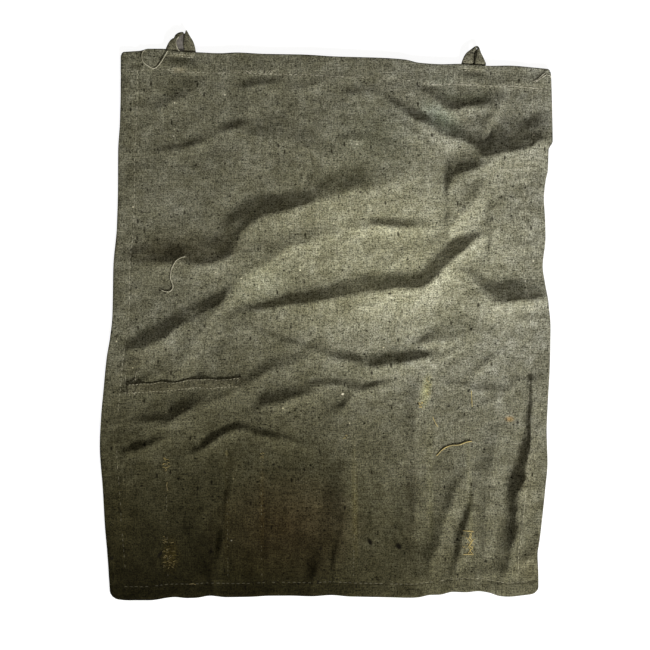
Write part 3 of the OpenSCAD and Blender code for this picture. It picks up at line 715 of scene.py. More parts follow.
def tape_leg(outer, inner, heights, cup):
    """A grid for one leg of a loop, between its outer and inner edges in plan."""
    s, t = np.linspace(0, 1, 22), np.linspace(0, 1, 9)
    q = evenly(outer, len(s)) * (1 - t[:, None, None]) + evenly(inner, len(s)) * t[:, None, None]
    level = np.interp(s, np.linspace(0, 1, len(heights)), heights)
    bow = cup * np.sin(np.pi * t)[:, None] * np.sin(np.pi * np.clip(s, 0.02, 1)) ** 0.7
    return np.concatenate([q, (level + bow)[..., None]], -1)


# Each loop's legs, and the inner face seen between them: outer edge, inner edge, heights along it, cupping.
LOOPS = {
    "left": [
        ([(-160.5, 260), (-159.9, 265), (-158, 269.5), (-155.6, 273.4), (-153.6, 275.2), (-151.6, 276),
          (-150.6, 278.6), (-148.4, 280.6), (-145.8, 281.8), (-143, 282.2)],
         [(-145.6, 260), (-146, 262.5), (-148.4, 266), (-149.5, 269.5), (-149.8, 271.6), (-149, 274.5),
          (-147, 277.4), (-144.8, 279.4), (-142.4, 281)], (1.4, 2.9, 3.9, 4.4, 4.4, 4, 3.4), 0.8),
        ([(-130, 260), (-130.3, 262), (-131, 266.3), (-132, 270.3), (-133.8, 274.3), (-136.4, 278.3),
          (-138.1, 281.4), (-139.5, 284)],
         [(-141.6, 260), (-141.6, 264.5), (-142.2, 269.4), (-141.7, 274), (-141.2, 278), (-140.4, 281.5),
          (-139.9, 283.5)], (1.4, 2.9, 3.7, 4.1, 4.3, 4.5, 4.2), 0.9),
    ],
    "right": [
        ([(135.2, 247), (135.4, 250), (136.5, 254), (138.3, 258), (140.5, 261.2), (143.2, 263.4),
          (146.3, 265.7), (149, 267.6), (150.8, 268.2)],
         [(146.2, 247), (146.4, 249), (147, 254.5), (147.2, 260.3), (148.4, 263), (149.6, 265), (151, 267)],
         (1.6, 3.2, 4.2, 4.5, 4.5, 4.2, 3.6), 0.7),
        ([(158.6, 247), (159.5, 250.7), (158.4, 253.2), (156.6, 257.2), (154.4, 261.6), (153, 266),
          (151.4, 268.1)],
         [(149.2, 247), (149, 249), (149.5, 254.5), (150, 257.2), (150.8, 261.6), (151.2, 264.5),
          (151.4, 267)],
         (1.6, 3.2, 4.2, 4.6, 4.6, 4.3, 3.6), 0.7),
    ],
}
INNER_FACES = {
    "left": ([(-152, 260), (-153, 268), (-152, 274), (-148.5, 279), (-144, 281.4)],
             [(-139, 260), (-139, 268), (-139.5, 274), (-140, 279), (-141, 280.5)],
             (1.2, 2.5, 3, 3.2, 3), 0.4),
    "right": ([(144.6, 247), (145, 254), (145.4, 259), (146.6, 262), (148.6, 265)],
              [(151, 247), (151.4, 254), (152, 259), (152, 262), (151.6, 265)], (0.8, 0.9, 1, 1.2, 1.8), 0.1),
}
PALE_EDGE = [(-145.6, 262.2), (-146.8, 263.6), (-148.5, 266), (-149.6, 269.5), (-149.9, 271.8),
             (-149.1, 274.5), (-147.1, 277.4)]


def hinged(obj, name, slot=None):
    """Names the object and bakes its place into its mesh, and gives it a slot if one is given."""
    obj.name = name + "_sewn"
    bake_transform(obj)
    if slot:
        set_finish(obj, slot)
    return obj


def leg_parts(outer, inner, heights, cup, thickness=TAPE):
    """A leg as a closed sheet, with its grid turned so that the faces look outwards."""
    leg = tape_leg(outer, inner, heights, cup)
    return sheet_parts(leg[::-1] if outer[0][0] > inner[0][0] else leg, thickness)


def hanging_loop(side):
    """The loop's two legs, out of the hem and over to their shared point, and the inner face seen between
    them, which it gives back."""
    name = side + "_loop"
    legs = hinged(join_parts(name, [leg_parts(*leg) for leg in LOOPS[side]]), name, "tape")
    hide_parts(name)
    # the left one's inner face is not woven, so it gets a material of its own
    face = join_parts(name + "_face", [leg_parts(*INNER_FACES[side], LINING)])
    return hinged(face, name + "_inner_face", None if side == "left" else "tape")


left_face = hanging_loop("left")
hanging_loop("right")

# the pale woven edge of the left loop's tape
edge_plan = through(PALE_EDGE, 0.6)
edge_height = np.interp(edge_plan[:, 1], [262, 264, 268, 272, 278], [3.2, 4.1, 5.1, 5.5, 5.3])
hinged(join_parts("edge", [tube(np.column_stack([edge_plan, edge_height]), 0.5)]),
       "left_loop_woven_edge", "thread")


def loop_tails(side):
    """The loop's sewn-in ends, under the hem."""
    parts = []
    for outer, inner, _, _ in LOOPS[side]:
        xs = np.sort([outer[0][0], inner[0][0]])
        us = locate(np.linspace(xs[0], xs[1], 7), np.full(7, BODY_TOP - 15))[0]
        vs = np.linspace(1 - 14 / height, 1 - 0.8 / height, 8)
        parts.append(sheet_parts(strip(front_surface, us, vs, -2.5 * CLOTH - 2 * GAP), TAPE_DOUBLED))
    piece(side + "_loop_tails", "tape", join_parts(side + "_tails", parts))


loop_tails("left")
loop_tails("right")


# ---------------------------------------------------------------- stitching
DIP = 0.35              # how far a stitch's ends go down into the cloth


def stitch_shape(a, b, radius, height):
    """One stitch from a to b over the cloth: two twisted strands, dipping in at both ends."""
    sides = steps = 7
    t = np.linspace(0, 1, steps)[:, None]
    line = a * (1 - t) + b * t
    line[:, 2] += height * (np.sin(np.pi * t[:, 0]) ** 0.55) - DIP
    grow = radius * (0.72 + 0.28 * np.sin(np.pi * t[:, 0]) ** 0.5)
    points, faces = tube(line, grow, sides)
    turn = np.arange(len(points)) % sides / sides * 2 * np.pi
    along = np.arange(len(points)) // sides / steps
    lobe = 0.16 * np.cos(2 * (turn - along * 2 * np.pi))
    centre = np.repeat(line, sides, axis=0)
    return centre + (points - centre) * (1 + lobe[:, None]), faces


def stitch_row(ends, radius, height):
    """Stitches between pairs of points."""
    return [stitch_shape(a, b, radius, height) for a, b in ends]


def along_line(line, pitch, seed, keep):
    """Start and end places of the stitches along a plan line; keep is the share of them that is left."""
    r = np.random.default_rng(seed)
    total = length_along(line)[-1]
    count = int(total / pitch)
    starts = (np.arange(count) + 0.16 + r.uniform(-0.05, 0.05, count)) * total / count
    ends = starts + pitch * (0.68 + r.uniform(-0.06, 0.06, count))
    a, b = resample(line, starts), resample(line, np.minimum(ends, total))
    a = a + r.normal(0, 0.12, a.shape)
    b = b + r.normal(0, 0.12, b.shape)
    kept = r.uniform(size=count) < keep
    return a[kept], b[kept]


def sewn(name, rows, radius=SEWN_THREAD / 2, height=0.45, extra=()):
    """A piece made of rows of stitches on the front; each row is its plan line, pitch and share kept."""
    parts = []
    for k, (line, pitch, keep) in enumerate(rows):
        a, b = along_line(line, pitch, seed=len(name) * 31 + k, keep=keep)
        parts += stitch_row(zip(on_front(*a.T), on_front(*b.T)), radius, height)
    piece(name, "thread", join_parts(name, parts + list(extra)))


def scribble(route, radius=0.28, lift=0.25, slack=0.0, seed=0):
    """A short free end of thread lying on the front."""
    line = through(route, 0.8)
    r = np.random.default_rng(seed)
    path = on_front(*line.T, lift)
    path[:, 2] += slack * np.sin(np.pi * np.linspace(0, 1, len(path)))
    path += r.normal(0, 0.04, path.shape)
    return tube(path, radius, sides=6)


def seam_line(share_from, share_to, edge, inset):
    """A plan line inset from one edge of the sack."""
    t = np.linspace(share_from, share_to, 120)
    u, v, way = {"left": (0 * t, t, (1, 0)), "right": (0 * t + 1, t, (-1, 0)),
                 "bottom": (t, 0 * t, (0, 1)), "mouth": (t, 0 * t + 1, (0, -1))}[edge]
    line = np.stack(place(u, v), -1) + inset * np.array(way)
    # a row of stitches runs straighter than the worn edge beside it
    for _ in range(8):
        line[1:-1] = (line[:-2] + 2 * line[1:-1] + line[2:]) / 4
    return line


PITCH = 5.1             # from one seam stitch to the next
tufts = [scribble([(-57, 242), (-55, 243.5), (-53.5, 241.5), (-56, 240.5), (-54, 243)], seed=1),
         scribble([(-28, 239.5), (-26, 237), (-24.5, 239.5)], seed=2),
         scribble([(-80, 243.5), (-76, 242), (-74, 244)], seed=3)]
sewn("mouth_stitching", [(seam_line(0.02, 0.985, "mouth", HEM), PITCH, 0.94),
                         (seam_line(0.7, 0.985, "mouth", HEM + 0.5), 4.2, 0.95),
                         (np.array([[208, 223.8], [222, 223.4]]), 4.6, 1)], extra=tufts)
sewn("left_seam_stitching", [(seam_line(0.35, 0.97, "left", LEFT_SEAM - 1.5), PITCH, 1),
                             (seam_line(0.035, 0.35, "left", LEFT_SEAM - 1.5), PITCH, 0.5)])
sewn("right_seam_stitching", [(seam_line(0.035, 0.965, "right", RIGHT_SEAM - 1.5), PITCH, 0.9)])
sewn("bottom_seam_stitching", [(seam_line(0.03, 0.97, "bottom", BOTTOM_SEAM - 1.5), PITCH, 0.9)])


def tack_line(x0, x1, inset):
    """A plan line inset from the mouth, between two places along it."""
    u, _ = locate(np.array([x0, x1]), np.array([BODY_TOP - 15.0] * 2))
    x, y = place(u, np.ones(2))
    return np.stack([x, y - inset], -1)


for name, x0, x1, inset in (("left_loop_tack", -156, -131, 2.6), ("right_loop_tack", 137, 158, 3.2)):
    second = tack_line(x0 + 1, x1 - 1, inset + (1.8 if x0 < 0 else 2.0))
    sewn(name, [(tack_line(x0, x1, inset), 2.7, 1), (second, 2.9, 0.8)], radius=0.36)

stay_parts = []
for t, first in ((-0.84, -4), (0.8, 1.5)):
    spots = np.arange(first, stay_length - 4, 3.6)
    a = on_stay(spots, np.full(spots.shape, t), CLOTH / 2)
    b = on_stay(spots + 2.7, np.full(spots.shape, t), CLOTH / 2)
    stay_parts += stitch_row(zip(a, b), 0.33, 0.3)
for s0, t0, s1, t1 in ((107.5, -0.6, 110.5, 0.75), (111, 0.7, 104.5, -0.7), (103, -0.75, 101, -0.2),
                       (113, 0.8, 108, -0.5)):
    stay_parts += stitch_row([on_stay([s0, s1], [t0, t1], CLOTH / 2)], 0.26, 0.3)
# the two knots near its left end, and a few threads frayed off it
for x, y, lift in ((-190.3, -64.8, 0.3), (-191.3, -78.6, 1.3)):
    knot = [(x + 0.8 * math.cos(k * 2.2), y + 0.8 * math.sin(k * 2.2)) for k in range(9)]
    stay_parts.append(scribble(knot, 0.34, lift, 0.5, seed=5))
for route in ([(-190.6, -64), (-190, -60), (-188.4, -56)],
              [(-201.4, -57), (-200.4, -63), (-200.8, -69), (-198.6, -72)],
              [(-198, -71), (-194, -67.5), (-190.6, -65)]):
    stay_parts.append(scribble(route, 0.22, 0.3, seed=9))
piece("stay_tape_stitching", "thread", join_parts("stay_stitches", stay_parts))

# Pocket divider rows: their top and bottom in plan, and the share of the stitches that still show.
DIVIDERS = [((-160, -140), (-158, -262), 0.3), ((-99, -132), (-98, -262), 0.5),
            ((-65, -128), (-64, -262), 0.45), ((29.5, -130), (27.5, -262), 0.5),
            ((105, -72), (101, -262), 0.5), ((146, -74), (140, -256), 0.6)]
sewn("pocket_divider_stitching", [(np.array([top, low], float), 4.0, keep) for top, low, keep in DIVIDERS],
     radius=0.26, height=0.28)


def worn_patch(x_range, y_range, count, seed, radius=0.22, reach=2.6):
    """A worn patch of sewing: many short strands lying across each other."""
    r = random.Random(seed)
    strands = []
    for k in range(count):
        x, y = r.uniform(*x_range), r.uniform(*y_range)
        turn, half = r.gauss(0.2, 0.7), reach * r.uniform(0.3, 0.6)
        dx, dy = half * math.cos(turn), half * math.sin(turn)
        route = [(x - dx, y - dy), (x + 0.4 * r.uniform(-1, 1), y), (x + dx, y + dy * r.uniform(-1, 1))]
        strands.append(scribble(route, radius, 0.25, seed=seed + k))
    return strands


# The tacks' heavier threads: route and radius.
BAR_THREADS = [
    ([(137, -215.6), (141, -216), (146.6, -216.4)], 0.42),
    ([(136.8, -239.4), (142, -239.4), (147.6, -239.8)], 0.42),
    ([(145, -217.4), (143, -222), (146, -226), (143, -230.2), (146.4, -233.4), (143.4, -235.8),
      (147, -239)], 0.34),
    ([(142.4, -218), (145, -220.6), (141.8, -224.4), (145.2, -228), (142, -232), (144.6, -235),
      (141.6, -238.4)], 0.28),
    ([(-158.5, -167), (-159, -171), (-158, -176)], 0.3),
    ([(145, -76), (145.4, -84), (146, -92)], 0.34),
    ([(-137, -269.5), (-133, -269), (-130, -270)], 0.3),
    ([(183, -104), (186, -105), (184, -107)], 0.25),
    ([(106.3, -102), (108, -106), (111.5, -112)], 0.34),
]
# Their ranges in x and y, count of strands, seed, radius, and how far the strands reach.
WORN_PATCHES = [
    ((-162, -157), (-155, -142), 14, 200, 0.27),
    ((-163, -151), (-254, -222), 34, 300, 0.2, 3.2),
    ((136.5, 148), (-239, -216), 14, 400, 0.2),
    ((92, 96.5), (-93.5, -87), 10, 500, 0.26, 1.8),
    ((95, 104.5), (-88, -62), 14, 600, 0.16, 1.8),
    ((-65, -62), (-144, -134), 5, 700),
    ((17, 22), (-124, -120), 3, 800),
]
bars = [scribble(route, radius, 0.3, seed=40 + k) for k, (route, radius) in enumerate(BAR_THREADS)]
for patch in WORN_PATCHES:
    bars += worn_patch(*patch)
piece("pocket_bar_tacks", "tack_thread", join_parts("bar_tacks", bars))

mends = [scribble(route, 0.32, 0.35, seed=80 + k) for k, route in enumerate([
    [(207, 233), (211, 234), (214, 237), (219, 241.5)], [(210, 232.5), (215, 236), (221, 240)],
    [(221, 238.5), (223, 239), (224.5, 236.5)], [(209, 232), (211, 233.5), (209.5, 234.5)]])]
piece("corner_mend", "thread", join_parts("mend", mends))

# ---------------------------------------------------------------- loose threads
THREAD_LOOP = [(-158, 263.5), (-160.2, 260), (-162.2, 256.2), (-164.6, 252.4), (-168.2, 248.2), (-172, 246.2),
               (-176.8, 248), (-181, 250.8), (-183.4, 254.2), (-184, 258.5), (-183, 262), (-180.6, 264.2)]
THREAD_CURL = [(-140, 57.5), (-145, 56), (-150, 52.5), (-153.5, 47), (-155, 41), (-155, 35.5),
               (-153, 30), (-153, 26), (-156, 23), (-160.5, 23), (-164.5, 24.5)]
THREAD_STRAND = [(110, -141), (115, -136), (120, -132.5), (126, -130.5), (133, -130),
                 (140, -127.5), (145.5, -126.5)]


def loose_thread(name, route, slot):
    """A loose end of thread lying on the front along a route in plan."""
    line = through(route, 1.0)
    path = on_front(*line.T, THREAD / 2 + 0.15)
    # thread is stiffer than the cloth's fine waves, so it bridges them
    for _ in range(6):
        path[1:-1, 2] = (path[:-2, 2] + 2 * path[1:-1, 2] + path[2:, 2]) / 4
    points, faces = tube(path, THREAD / 2, sides=10)
    obj = piece(name, slot, make_object(name, points, faces))
    path[0] * MM
    (path * MM).tolist()


loose_thread("loose_thread_loop", THREAD_LOOP, "thread")
loose_thread("loose_thread_curl", THREAD_CURL, "thread")
loose_thread("loose_thread_strand", THREAD_STRAND, "tack_thread")

# ---------------------------------------------------------------- materials
class Value:
    """A value in a material's tree. Arithmetic on it adds nodes and gives another value."""

    def __init__(self, tree, socket):
        self.tree, self.socket = tree, socket

    def also(self, name):
        """Another output of the same node."""
        return Value(self.tree, self.socket.node.outputs[name])

    def maths(self, operation, *values):
        return node(self.tree, "Math", *values, operation=operation)

    def __add__(self, other):
        return self.maths("ADD", self, other)

    def __sub__(self, other):
        return self.maths("SUBTRACT", self, other)

    def __rsub__(self, other):
        return self.maths("SUBTRACT", other, self)

    def __mul__(self, other):
        return self.maths("MULTIPLY", self, other)

    def __rpow__(self, other):
        return self.maths("POWER", other, self)

    def __gt__(self, other):
        return self.maths("GREATER_THAN", self, other)

    def __abs__(self):
        return self.maths("ABSOLUTE", self)


def put(value, socket):
    """Links an input to a Value, or sets it to a plain one."""
    if isinstance(value, Value):
        value.tree.links.new(value.socket, socket)
    elif value is not None:
        socket.default_value = value


def node(tree, kind, *values, output=None, **settings):
    """A new node with its inputs set in order; gives its first output, or the one named."""
    made = tree.nodes.new("ShaderNode" + kind)
    for key, value in settings.items():
        setattr(made, key, value)
    for value, socket in zip(values, [s for s in made.inputs if s.enabled]):
        put(value, socket)
    return Value(tree, [s for s in made.outputs if s.enabled and output in (None, s.name)][0])


def noise(where, scale, detail=2.0, roughness=0.5, output="Fac"):
    return node(where.tree, "TexNoise", where, scale, detail, roughness, output=output)


def span(value, low, high, to_low=0.0, to_high=1.0):
    """The value carried from the range low to high over to another range."""
    return node(value.tree, "MapRange", value, low, high, to_low, to_high)


def eased(value, low, high):
    """0 below low, 1 above high, and smooth between."""
    return node(value.tree, "MapRange", value, low, high, interpolation_type="SMOOTHSTEP")


def tint(factor, a, b, blend="MIX"):
    tree = next(v.tree for v in (factor, a, b) if isinstance(v, Value))
    return node(tree, "Mix", factor, a, b, data_type="RGBA", blend_type=blend)


def stretched(where, x, y):
    return node(where.tree, "Mapping", where, None, None, (x, y, 1))


def ragged(where, amount):
    """Places pushed about by noise, up to amount mm and half of that on average, for ragged edges."""
    push = noise(where, 5, 15, output="Color")
    push = node(where.tree, "VectorMath", push, amount * MM, operation="SCALE")
    return node(where.tree, "VectorMath", where, push, operation="ADD")


def ellipse(where, x, y, long, wide, turn=0):
    """Distance from (x, y) in an ellipse's own terms: 1 on its edge."""
    c, s = math.cos(math.radians(turn)), math.sin(math.radians(turn))
    squares = []
    for ax, ay, half in ((c, s, long * MM), (-s, c, wide * MM)):
        along = node(where.tree, "VectorMath", where, (ax / half, ay / half, 0), operation="DOT_PRODUCT")
        off = along - (ax * x + ay * y) * MM / half
        squares.append(off * off)
    return node(where.tree, "Math", squares[0] + squares[1], operation="SQRT")


def dirt_and_painted_shade(colour, amount=1.0):
    """Darker and browner towards the bottom left, and lighter right of the middle: both partly dirt and
    fading, and partly painted shade and painted light.
    """
    where = node(colour.tree, "TexCoord", output="Object")
    x = node(colour.tree, "SeparateXYZ", where)
    y = x.also("Y")
    to_right = eased(x, -100 * MM, 180 * MM)
    to_mouth = eased(y, -340 * MM, 0)
    # darker towards the bottom left: partly dirt, partly painted shade
    lightness = to_right * 3.2 + to_mouth * 3.9 - to_right * to_mouth * 2.65 - 4.05
    patches = noise(where, 16, 3, 0.6) + noise(where, 55, 3, 0.6) + noise(where, 130, 2, 0.6)
    lightness = lightness + (patches - 1.5) * 1.2
    # lighter right of the middle: partly fading, partly painted light
    faded_and_lit = eased(ellipse(where, 60, 60, 130, 90), 1.75, 0) * 0.85
    lightness = lightness - eased(y, -205 * MM, -290 * MM) * (0.4 - to_right * 0.4)
    # red, green and blue: how much of the darkening (dirt and painted shade) and of the lightening (fading
    # and painted light) each one takes
    shade = [2.0 ** ((lightness * darkening + faded_and_lit * lightening) * amount)
             for darkening, lightening in ((0.96, 1.0), (1.0, 1.0), (1.24, 0.86))]
    return tint(1.0, colour, node(colour.tree, "CombineColor", *shade), "MULTIPLY")


# Marks on the body cloth, and patches of painted shade and light on it: place in plan, half length, half
# width and turn in degrees;
# then a speck's strength and colour, or the shade that a stain or a painted patch multiplies the cloth's own
# colour by.
DARK, PALE = (0.006, 0.005, 0.003), (0.6, 0.56, 0.42)
SPECKS = [
    (44, -227, 3.8, 2.4, 120, 1, DARK), (72.5, -231.5, 4.2, 3, 140, 1, DARK),
    (131, -224.5, 1.8, 1.2, 80, 1, DARK), (159.5, -246.5, 2, 1.3, 20, 0.9, DARK),
    (-166, -239.5, 4.4, 1.8, 50, 1, DARK), (-214, -243.5, 2, 1.6, 0, 1, DARK),
    (-121, -157.5, 2.6, 1, 130, 0.8, DARK), (-52.5, -149.5, 2, 1.4, 30, 0.9, DARK),
    (-47, -152, 1.6, 1.2, 0, 0.8, DARK), (-5.5, -233.5, 2.4, 1.6, 60, 0.9, DARK),
    (-6, -137, 4.6, 0.8, 105, 0.8, DARK), (142.5, -76, 2.2, 1.4, 40, 0.9, DARK),
    (-168, 165, 2.2, 0.9, 90, 0.8, DARK), (-130, 149, 2.4, 1, 60, 0.8, DARK),
    (-70, 222, 2.6, 0.9, 20, 0.7, DARK), (122.7, -91.5, 2, 0.8, 5, 1, DARK),
    (132.4, -93.4, 2.2, 0.8, 45, 0.9, DARK), (17, -79.5, 1.4, 1.1, 30, 1, PALE),
    (-94.5, -225.5, 0.8, 0.6, 0, 0.25, PALE), (31, 170, 1, 0.8, 0, 0.7, PALE),
    (-152, 178, 0.9, 0.8, 0, 0.7, PALE),
]
STAINS_AND_PAINTED_SHADE = [
    # The dark patches at (-145, 253) and (148, 238), behind the loops' sewn-in ends, are partly dirt and
    # partly painted shade.
    (-12, -252, 18, 10, 80, (0.45, 0.42, 0.36)), (-145, 253, 18, 5, 0, (0.5, 0.5, 0.46)),
    (-146, 231, 20, 9, 15, (0.72, 0.72, 0.7)), (-145, 258.8, 15, 1.8, 0, (1.35, 1.3, 1.25)),
    (147, 245, 13, 2.6, 0, (1.3, 1.3, 1.2)), (148, 238, 14, 5.5, -6, (0.5, 0.5, 0.46)),
    (-99, -138.5, 4, 1.6, 95, (2.2, 2.1, 1.8)), (-147, 244, 8, 3, 5, (1.6, 1.5, 1.4)),
    (-7, -191, 6, 4, 0, (1.5, 1.5, 1.5)), (183.5, -104.5, 5, 3, 0, (1.7, 1.1, 0.6)),
    (-155, -240, 18, 9, 90, (1.6, 1.4, 0.9)), (100, -76, 17, 6, 80, (1.5, 1.5, 1.05)),
    (29, -190, 65, 3.5, 91, (1.35, 1.3, 1.1)), (-99, -200, 60, 3, 90, (1.25, 1.2, 1.1)),
    (-64, -195, 62, 2.5, 90, (1.25, 1.15, 1.0)), (104, -175, 80, 4, 91, (1.2, 1.2, 1.1)),
    (143, -175, 80, 3, 92, (1.2, 1.2, 1.1)), (-40, -212, 70, 50, 0, (1.12, 0.92, 0.85)),
    # The next six rows are dark bands, level along the pocket's top and upright beside its divider rows:
    # partly dirt, partly painted shade of the creases there.
    (-33, -154, 60, 1.8, 0, (0.72, 0.7, 0.68)), (105, -154, 48, 1.8, 0, (0.72, 0.7, 0.68)),
    (-115, -225, 55, 4, 90, (0.7, 0.68, 0.66)), (-60, -215, 60, 4, 90, (0.75, 0.72, 0.7)),
    (16, -200, 60, 6, 90, (0.72, 0.7, 0.68)), (85, -190, 60, 8, 88, (0.78, 0.76, 0.74)),
    (115, 196, 26, 12, -35, (0.88, 1.0, 1.0)),
    # From here on these are not marks in the cloth. They paint in the shade and light of the folds' broad
    # hollows and slopes, which the folds alone leave too faint, so they stay put under any other light.
    (22, 134, 30, 17, 5, (0.72, 0.72, 0.68)),
    (-145, 62, 60, 14, 2, (0.78, 0.74, 0.68)), (-98, 72, 16, 13, 40, (0.66, 0.64, 0.58)),
    (62, 36, 44, 8, 4, (0.72, 0.72, 0.68)), (192, 30, 36, 11, -4, (0.62, 0.62, 0.58)),
    (130, 145, 16, 14, 40, (0.7, 0.7, 0.66)), (14, -92, 18, 14, 30, (0.7, 0.7, 0.66)),
    (4, -190, 9, 34, 0, (0.68, 0.66, 0.64)), (75, -192, 12, 34, 0, (0.74, 0.74, 0.7)),
    (66, -42, 46, 7, 3, (0.7, 0.7, 0.66)), (148, 217, 26, 8, 0, (0.68, 0.7, 0.66)),
    (120, 219, 12, 9, -25, (0.66, 0.68, 0.64)), (-190, -46, 30, 9, 35, (0.8, 0.78, 0.74)),
    (120, -8, 30, 14, 10, (0.78, 0.78, 0.74)), (-60, 30, 40, 26, 20, (1.18, 1.2, 1.16)),
    (-205, -215, 18, 50, 0, (1.3, 1.28, 1.24)), (-80, -255, 60, 22, 0, (1.35, 1.35, 1.3)),
    (116, 233, 16, 9, -10, (0.78, 0.8, 0.78)), (50, 178, 50, 42, 0, (0.88, 0.9, 0.88)),
    (-77, 222, 26, 20, 0, (0.84, 0.84, 0.82)), (-150, 76, 62, 14, 8, (0.82, 0.8, 0.76)),
    (30, -57, 64, 9, 4, (0.8, 0.8, 0.76)), (136, -33, 36, 20, 0, (0.86, 0.86, 0.84)),
    (157, 52, 34, 16, -30, (0.86, 0.86, 0.84)), (79, -226, 14, 28, 0, (0.84, 0.84, 0.82)),
    (-118, -250, 8, 26, 20, (0.76, 0.74, 0.7)), (-4, -195, 10, 62, 0, (0.84, 0.83, 0.8)),
    (200, -155, 14, 50, 0, (1.18, 1.16, 1.12)), (203, -252, 16, 22, 0, (1.25, 1.22, 1.18)),
    (-95, -152, 12, 16, 0, (1.16, 1.14, 1.1)), (-70, -279, 60, 6, 0, (1.35, 1.32, 1.25)),
]
RAGGED_MARKS = 2.2      # how far the marks' edges are pushed about


def marks_and_painted_shade(colour):
    """The single stains and dark and pale specks of the body cloth, and painted shade and light over its
    broad folds, beside the pocket's rows and behind the loops' sewn-in ends.
    """
    where = ragged(node(colour.tree, "TexCoord", output="Object"), RAGGED_MARKS)
    shift = RAGGED_MARKS / 2
    for x, y, long, wide, turn, shade in STAINS_AND_PAINTED_SHADE:
        gap = ellipse(where, x + shift, y + shift, long, wide, turn)
        colour = tint(span(gap, 0, 1.2, 1, 0), colour, (*shade, 1), "MULTIPLY")
    for x, y, long, wide, turn, strength, paint in SPECKS:
        gap = ellipse(where, x + shift, y + shift, long, wide, turn)
        colour = tint(span(gap, 0.5, 1.2, strength, 0), colour, (*paint, 1))
    return colour


# Flecks in the weave: cells per metre, share of cells left plain, size in a cell, length, strength, colour.
FLECKS = [
    (170, 0.86, 0.27, 1.5, 0.9, (0.012, 0.010, 0.006)),
    (150, 0.8, 0.2, 0.45, 0.9, (0.014, 0.012, 0.007)),
    (330, 0.74, 0.3, 1.3, 0.8, (0.02, 0.018, 0.01)),
    (75, 0.86, 0.13, 1.6, 1.0, (0.006, 0.005, 0.003)),
    (120, 0.93, 0.12, 1.0, 0.8, (0.6, 0.56, 0.4)),
]


def shader_of(name, roughness):
    """A new material, its tree and its shader."""
    material = bpy.data.materials.new(name)
    material.use_nodes = True
    shader = material.node_tree.nodes["Principled BSDF"]
    shader.inputs["Roughness"].default_value = roughness
    return material, material.node_tree, shader


def linen(name, dark, light, pitch=1.15, dirt_and_shade=1.0):
    """Plain woven linen: warp and weft, slubs and flecks, over the cloth's flat places."""
    material, tree, shader = shader_of(name, 0.95)
    flat = node(tree, "UVMap", uv_map="cloth")
    x = node(tree, "SeparateXYZ", flat)
    # threads wander a little
    wander = noise(flat, 60, 1) * 9.0
    waves = math.pi / (pitch * MM)
    wx, wy = (node(tree, "Math", along * waves + wander, operation="SINE") for along in (x, x.also("Y")))
    over = wx * wy * 0.4
    warp, weft = abs(wx) * (over + 0.6), abs(wy) * (0.6 - over)
    weave = node(tree, "Math", warp, weft, operation="MAXIMUM")
    # slubs along both threads, and the grain between them
    slub_x, slub_y = (noise(stretched(flat, *way), 1, 3, 0.7) for way in ((70, 900), (900, 70)))
    mottle = slub_x * 0.8 + slub_y * 0.65 + noise(flat, 680, 3, 0.8) * 2.5 + noise(flat, 260, 2, 0.6) * 0.7
    tone = mottle * 0.5 + weave * 0.24
    colour = tint(span(tone, 1.1, 1.6), (*dark, 1), (*light, 1))
    places = ragged(flat, 1.6)
    for scale, plain, size, long, strength, paint in FLECKS:
        gap = node(tree, "TexVoronoi", stretched(places, 1, long), scale, output="Distance")
        rank = node(tree, "SeparateColor", gap.also("Color"))
        fleck = span(gap, size * 0.5, size, 1, 0) * (rank > plain)
        colour = tint(fleck * strength, colour, (*paint, 1))
    # painted shade: the further a face leans from level, as on the turned edges, the darker it is
    facing = node(tree, "SeparateXYZ", node(tree, "TexCoord", output="Normal"), output="Z")
    edge = span(abs(facing), 0.3, 0.85, 0.45, 1)
    colour = tint(1.0, colour, node(tree, "CombineColor", edge, edge, edge), "MULTIPLY")
    put(marks_and_painted_shade(dirt_and_painted_shade(colour, dirt_and_shade)), shader.inputs["Base Color"])
    shader.inputs["Specular IOR Level"].default_value = 0.04
    put(node(tree, "Bump", 0.8, 0.5 * MM, None, weave + mottle * 0.8), shader.inputs["Normal"])
    return material


def twine(name, dark, light, dirt_and_shade=0.8):
    """Twisted thread, darkened and lightened like the cloth that it lies on, partly by dirt and partly by
    painted shade and light.
    """
    material, tree, shader = shader_of(name, 0.8)
    where = node(tree, "TexCoord", output="Object")
    fibres = noise(where, 900, 3, 0.6)
    worn = span(noise(where, 130, 2, 0.6), 0.35, 0.6, 0.5, 0.0)
    colour = tint(worn, tint(fibres, (*dark, 1), (*light, 1)), (0.13, 0.12, 0.08, 1))
    put(dirt_and_painted_shade(colour, dirt_and_shade), shader.inputs["Base Color"])
    put(node(tree, "Bump", 0.5, 0.2 * MM, None, fibres), shader.inputs["Normal"])
    return material


def smooth_lining(name, dark, light):
    """The worn, smooth inner face of the tape."""
    material, tree, shader = shader_of(name, 0.9)
    where = node(tree, "TexCoord", output="Object")
    worn = noise(where, 300, 3, 0.6) + noise(where, 1100, 2, 0.6) * 0.5
    put(tint(span(worn, 0.55, 0.95), (*dark, 1), (*light, 1)), shader.inputs["Base Color"])
    return material


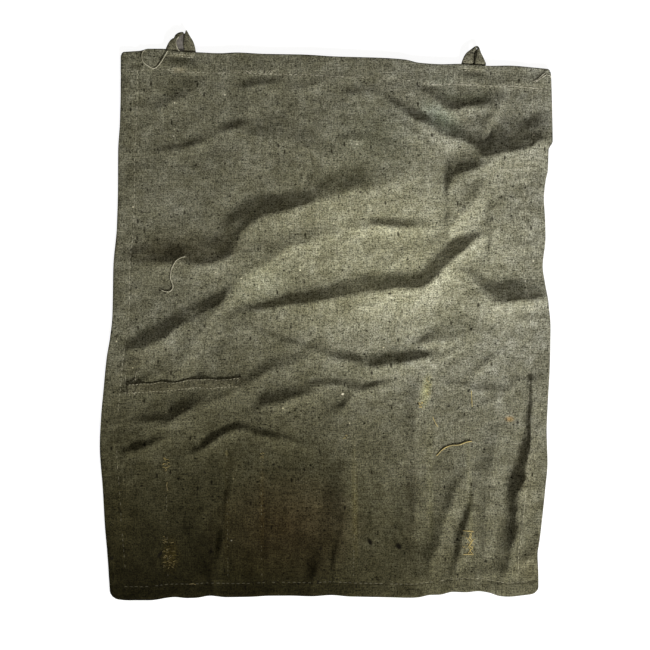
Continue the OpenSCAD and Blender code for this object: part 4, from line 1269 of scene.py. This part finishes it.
MATERIALS = {
    "canvas": linen("canvas", (0.016, 0.0148, 0.008), (0.31, 0.30, 0.21)),
    "canvas_inside": linen("canvas_inside", (0.08, 0.074, 0.044), (0.46, 0.44, 0.32), dirt_and_shade=0.5),
    "tape": linen("tape", (0.013, 0.012, 0.007), (0.26, 0.245, 0.165), pitch=1.0),
    "thread": twine("thread", (0.24, 0.22, 0.15), (0.46, 0.44, 0.33)),
    "tack_thread": twine("tack_thread", (0.30, 0.22, 0.06), (0.52, 0.42, 0.16), dirt_and_shade=0.5),
}
for obj in [o for o in bpy.data.objects if o.type == "MESH" and "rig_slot" in o]:
    obj.data.materials.append(MATERIALS[obj["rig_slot"]])
left_face.data.materials.append(smooth_lining("lining", (0.075, 0.068, 0.058), (0.17, 0.155, 0.135)))

# ---------------------------------------------------------------- floor and light
floor_mesh = bpy.data.meshes.new("floor")
floor_mesh.from_pydata([(-4, -4, 0), (4, -4, 0), (4, 4, 0), (-4, 4, 0)], [], [(0, 1, 2, 3)])
floor = bpy.data.objects.new("floor", floor_mesh)
bpy.context.collection.objects.link(floor)
floor_material, _, floor_shader = shader_of("floor", 0.9)
floor_shader.inputs["Base Color"].default_value = (0.2, 0.2, 0.2, 1)
floor_shader.inputs["Emission Color"].default_value = (1, 1, 1, 1)
floor_shader.inputs["Emission Strength"].default_value = 0.9
floor_mesh.materials.append(floor_material)


def area_light(name, where, size, power):
    """A round light at a place, turned towards the sack."""
    light = bpy.data.lights.new(name, "AREA")
    light.shape = "DISK"
    light.size = size
    light.energy = power
    obj = bpy.data.objects.new(name, light)
    obj.location = where
    obj.rotation_euler = (-Vector(where)).to_track_quat("-Z", "Y").to_euler()
    bpy.context.collection.objects.link(obj)


area_light("key", (1.2, -2.3, 1.24), 0.6, 180)
area_light("fill", (-0.8, 0.6, 2.6), 2.4, 12)
world = bpy.data.worlds.new("world")
world.use_nodes = True
world.node_tree.nodes["Background"].inputs[0].default_value = (1, 0.94, 0.8, 1)
world.node_tree.nodes["Background"].inputs[1].default_value = 0.18
bpy.context.scene.world = world
bpy.context.scene.view_settings.view_transform = "Standard"
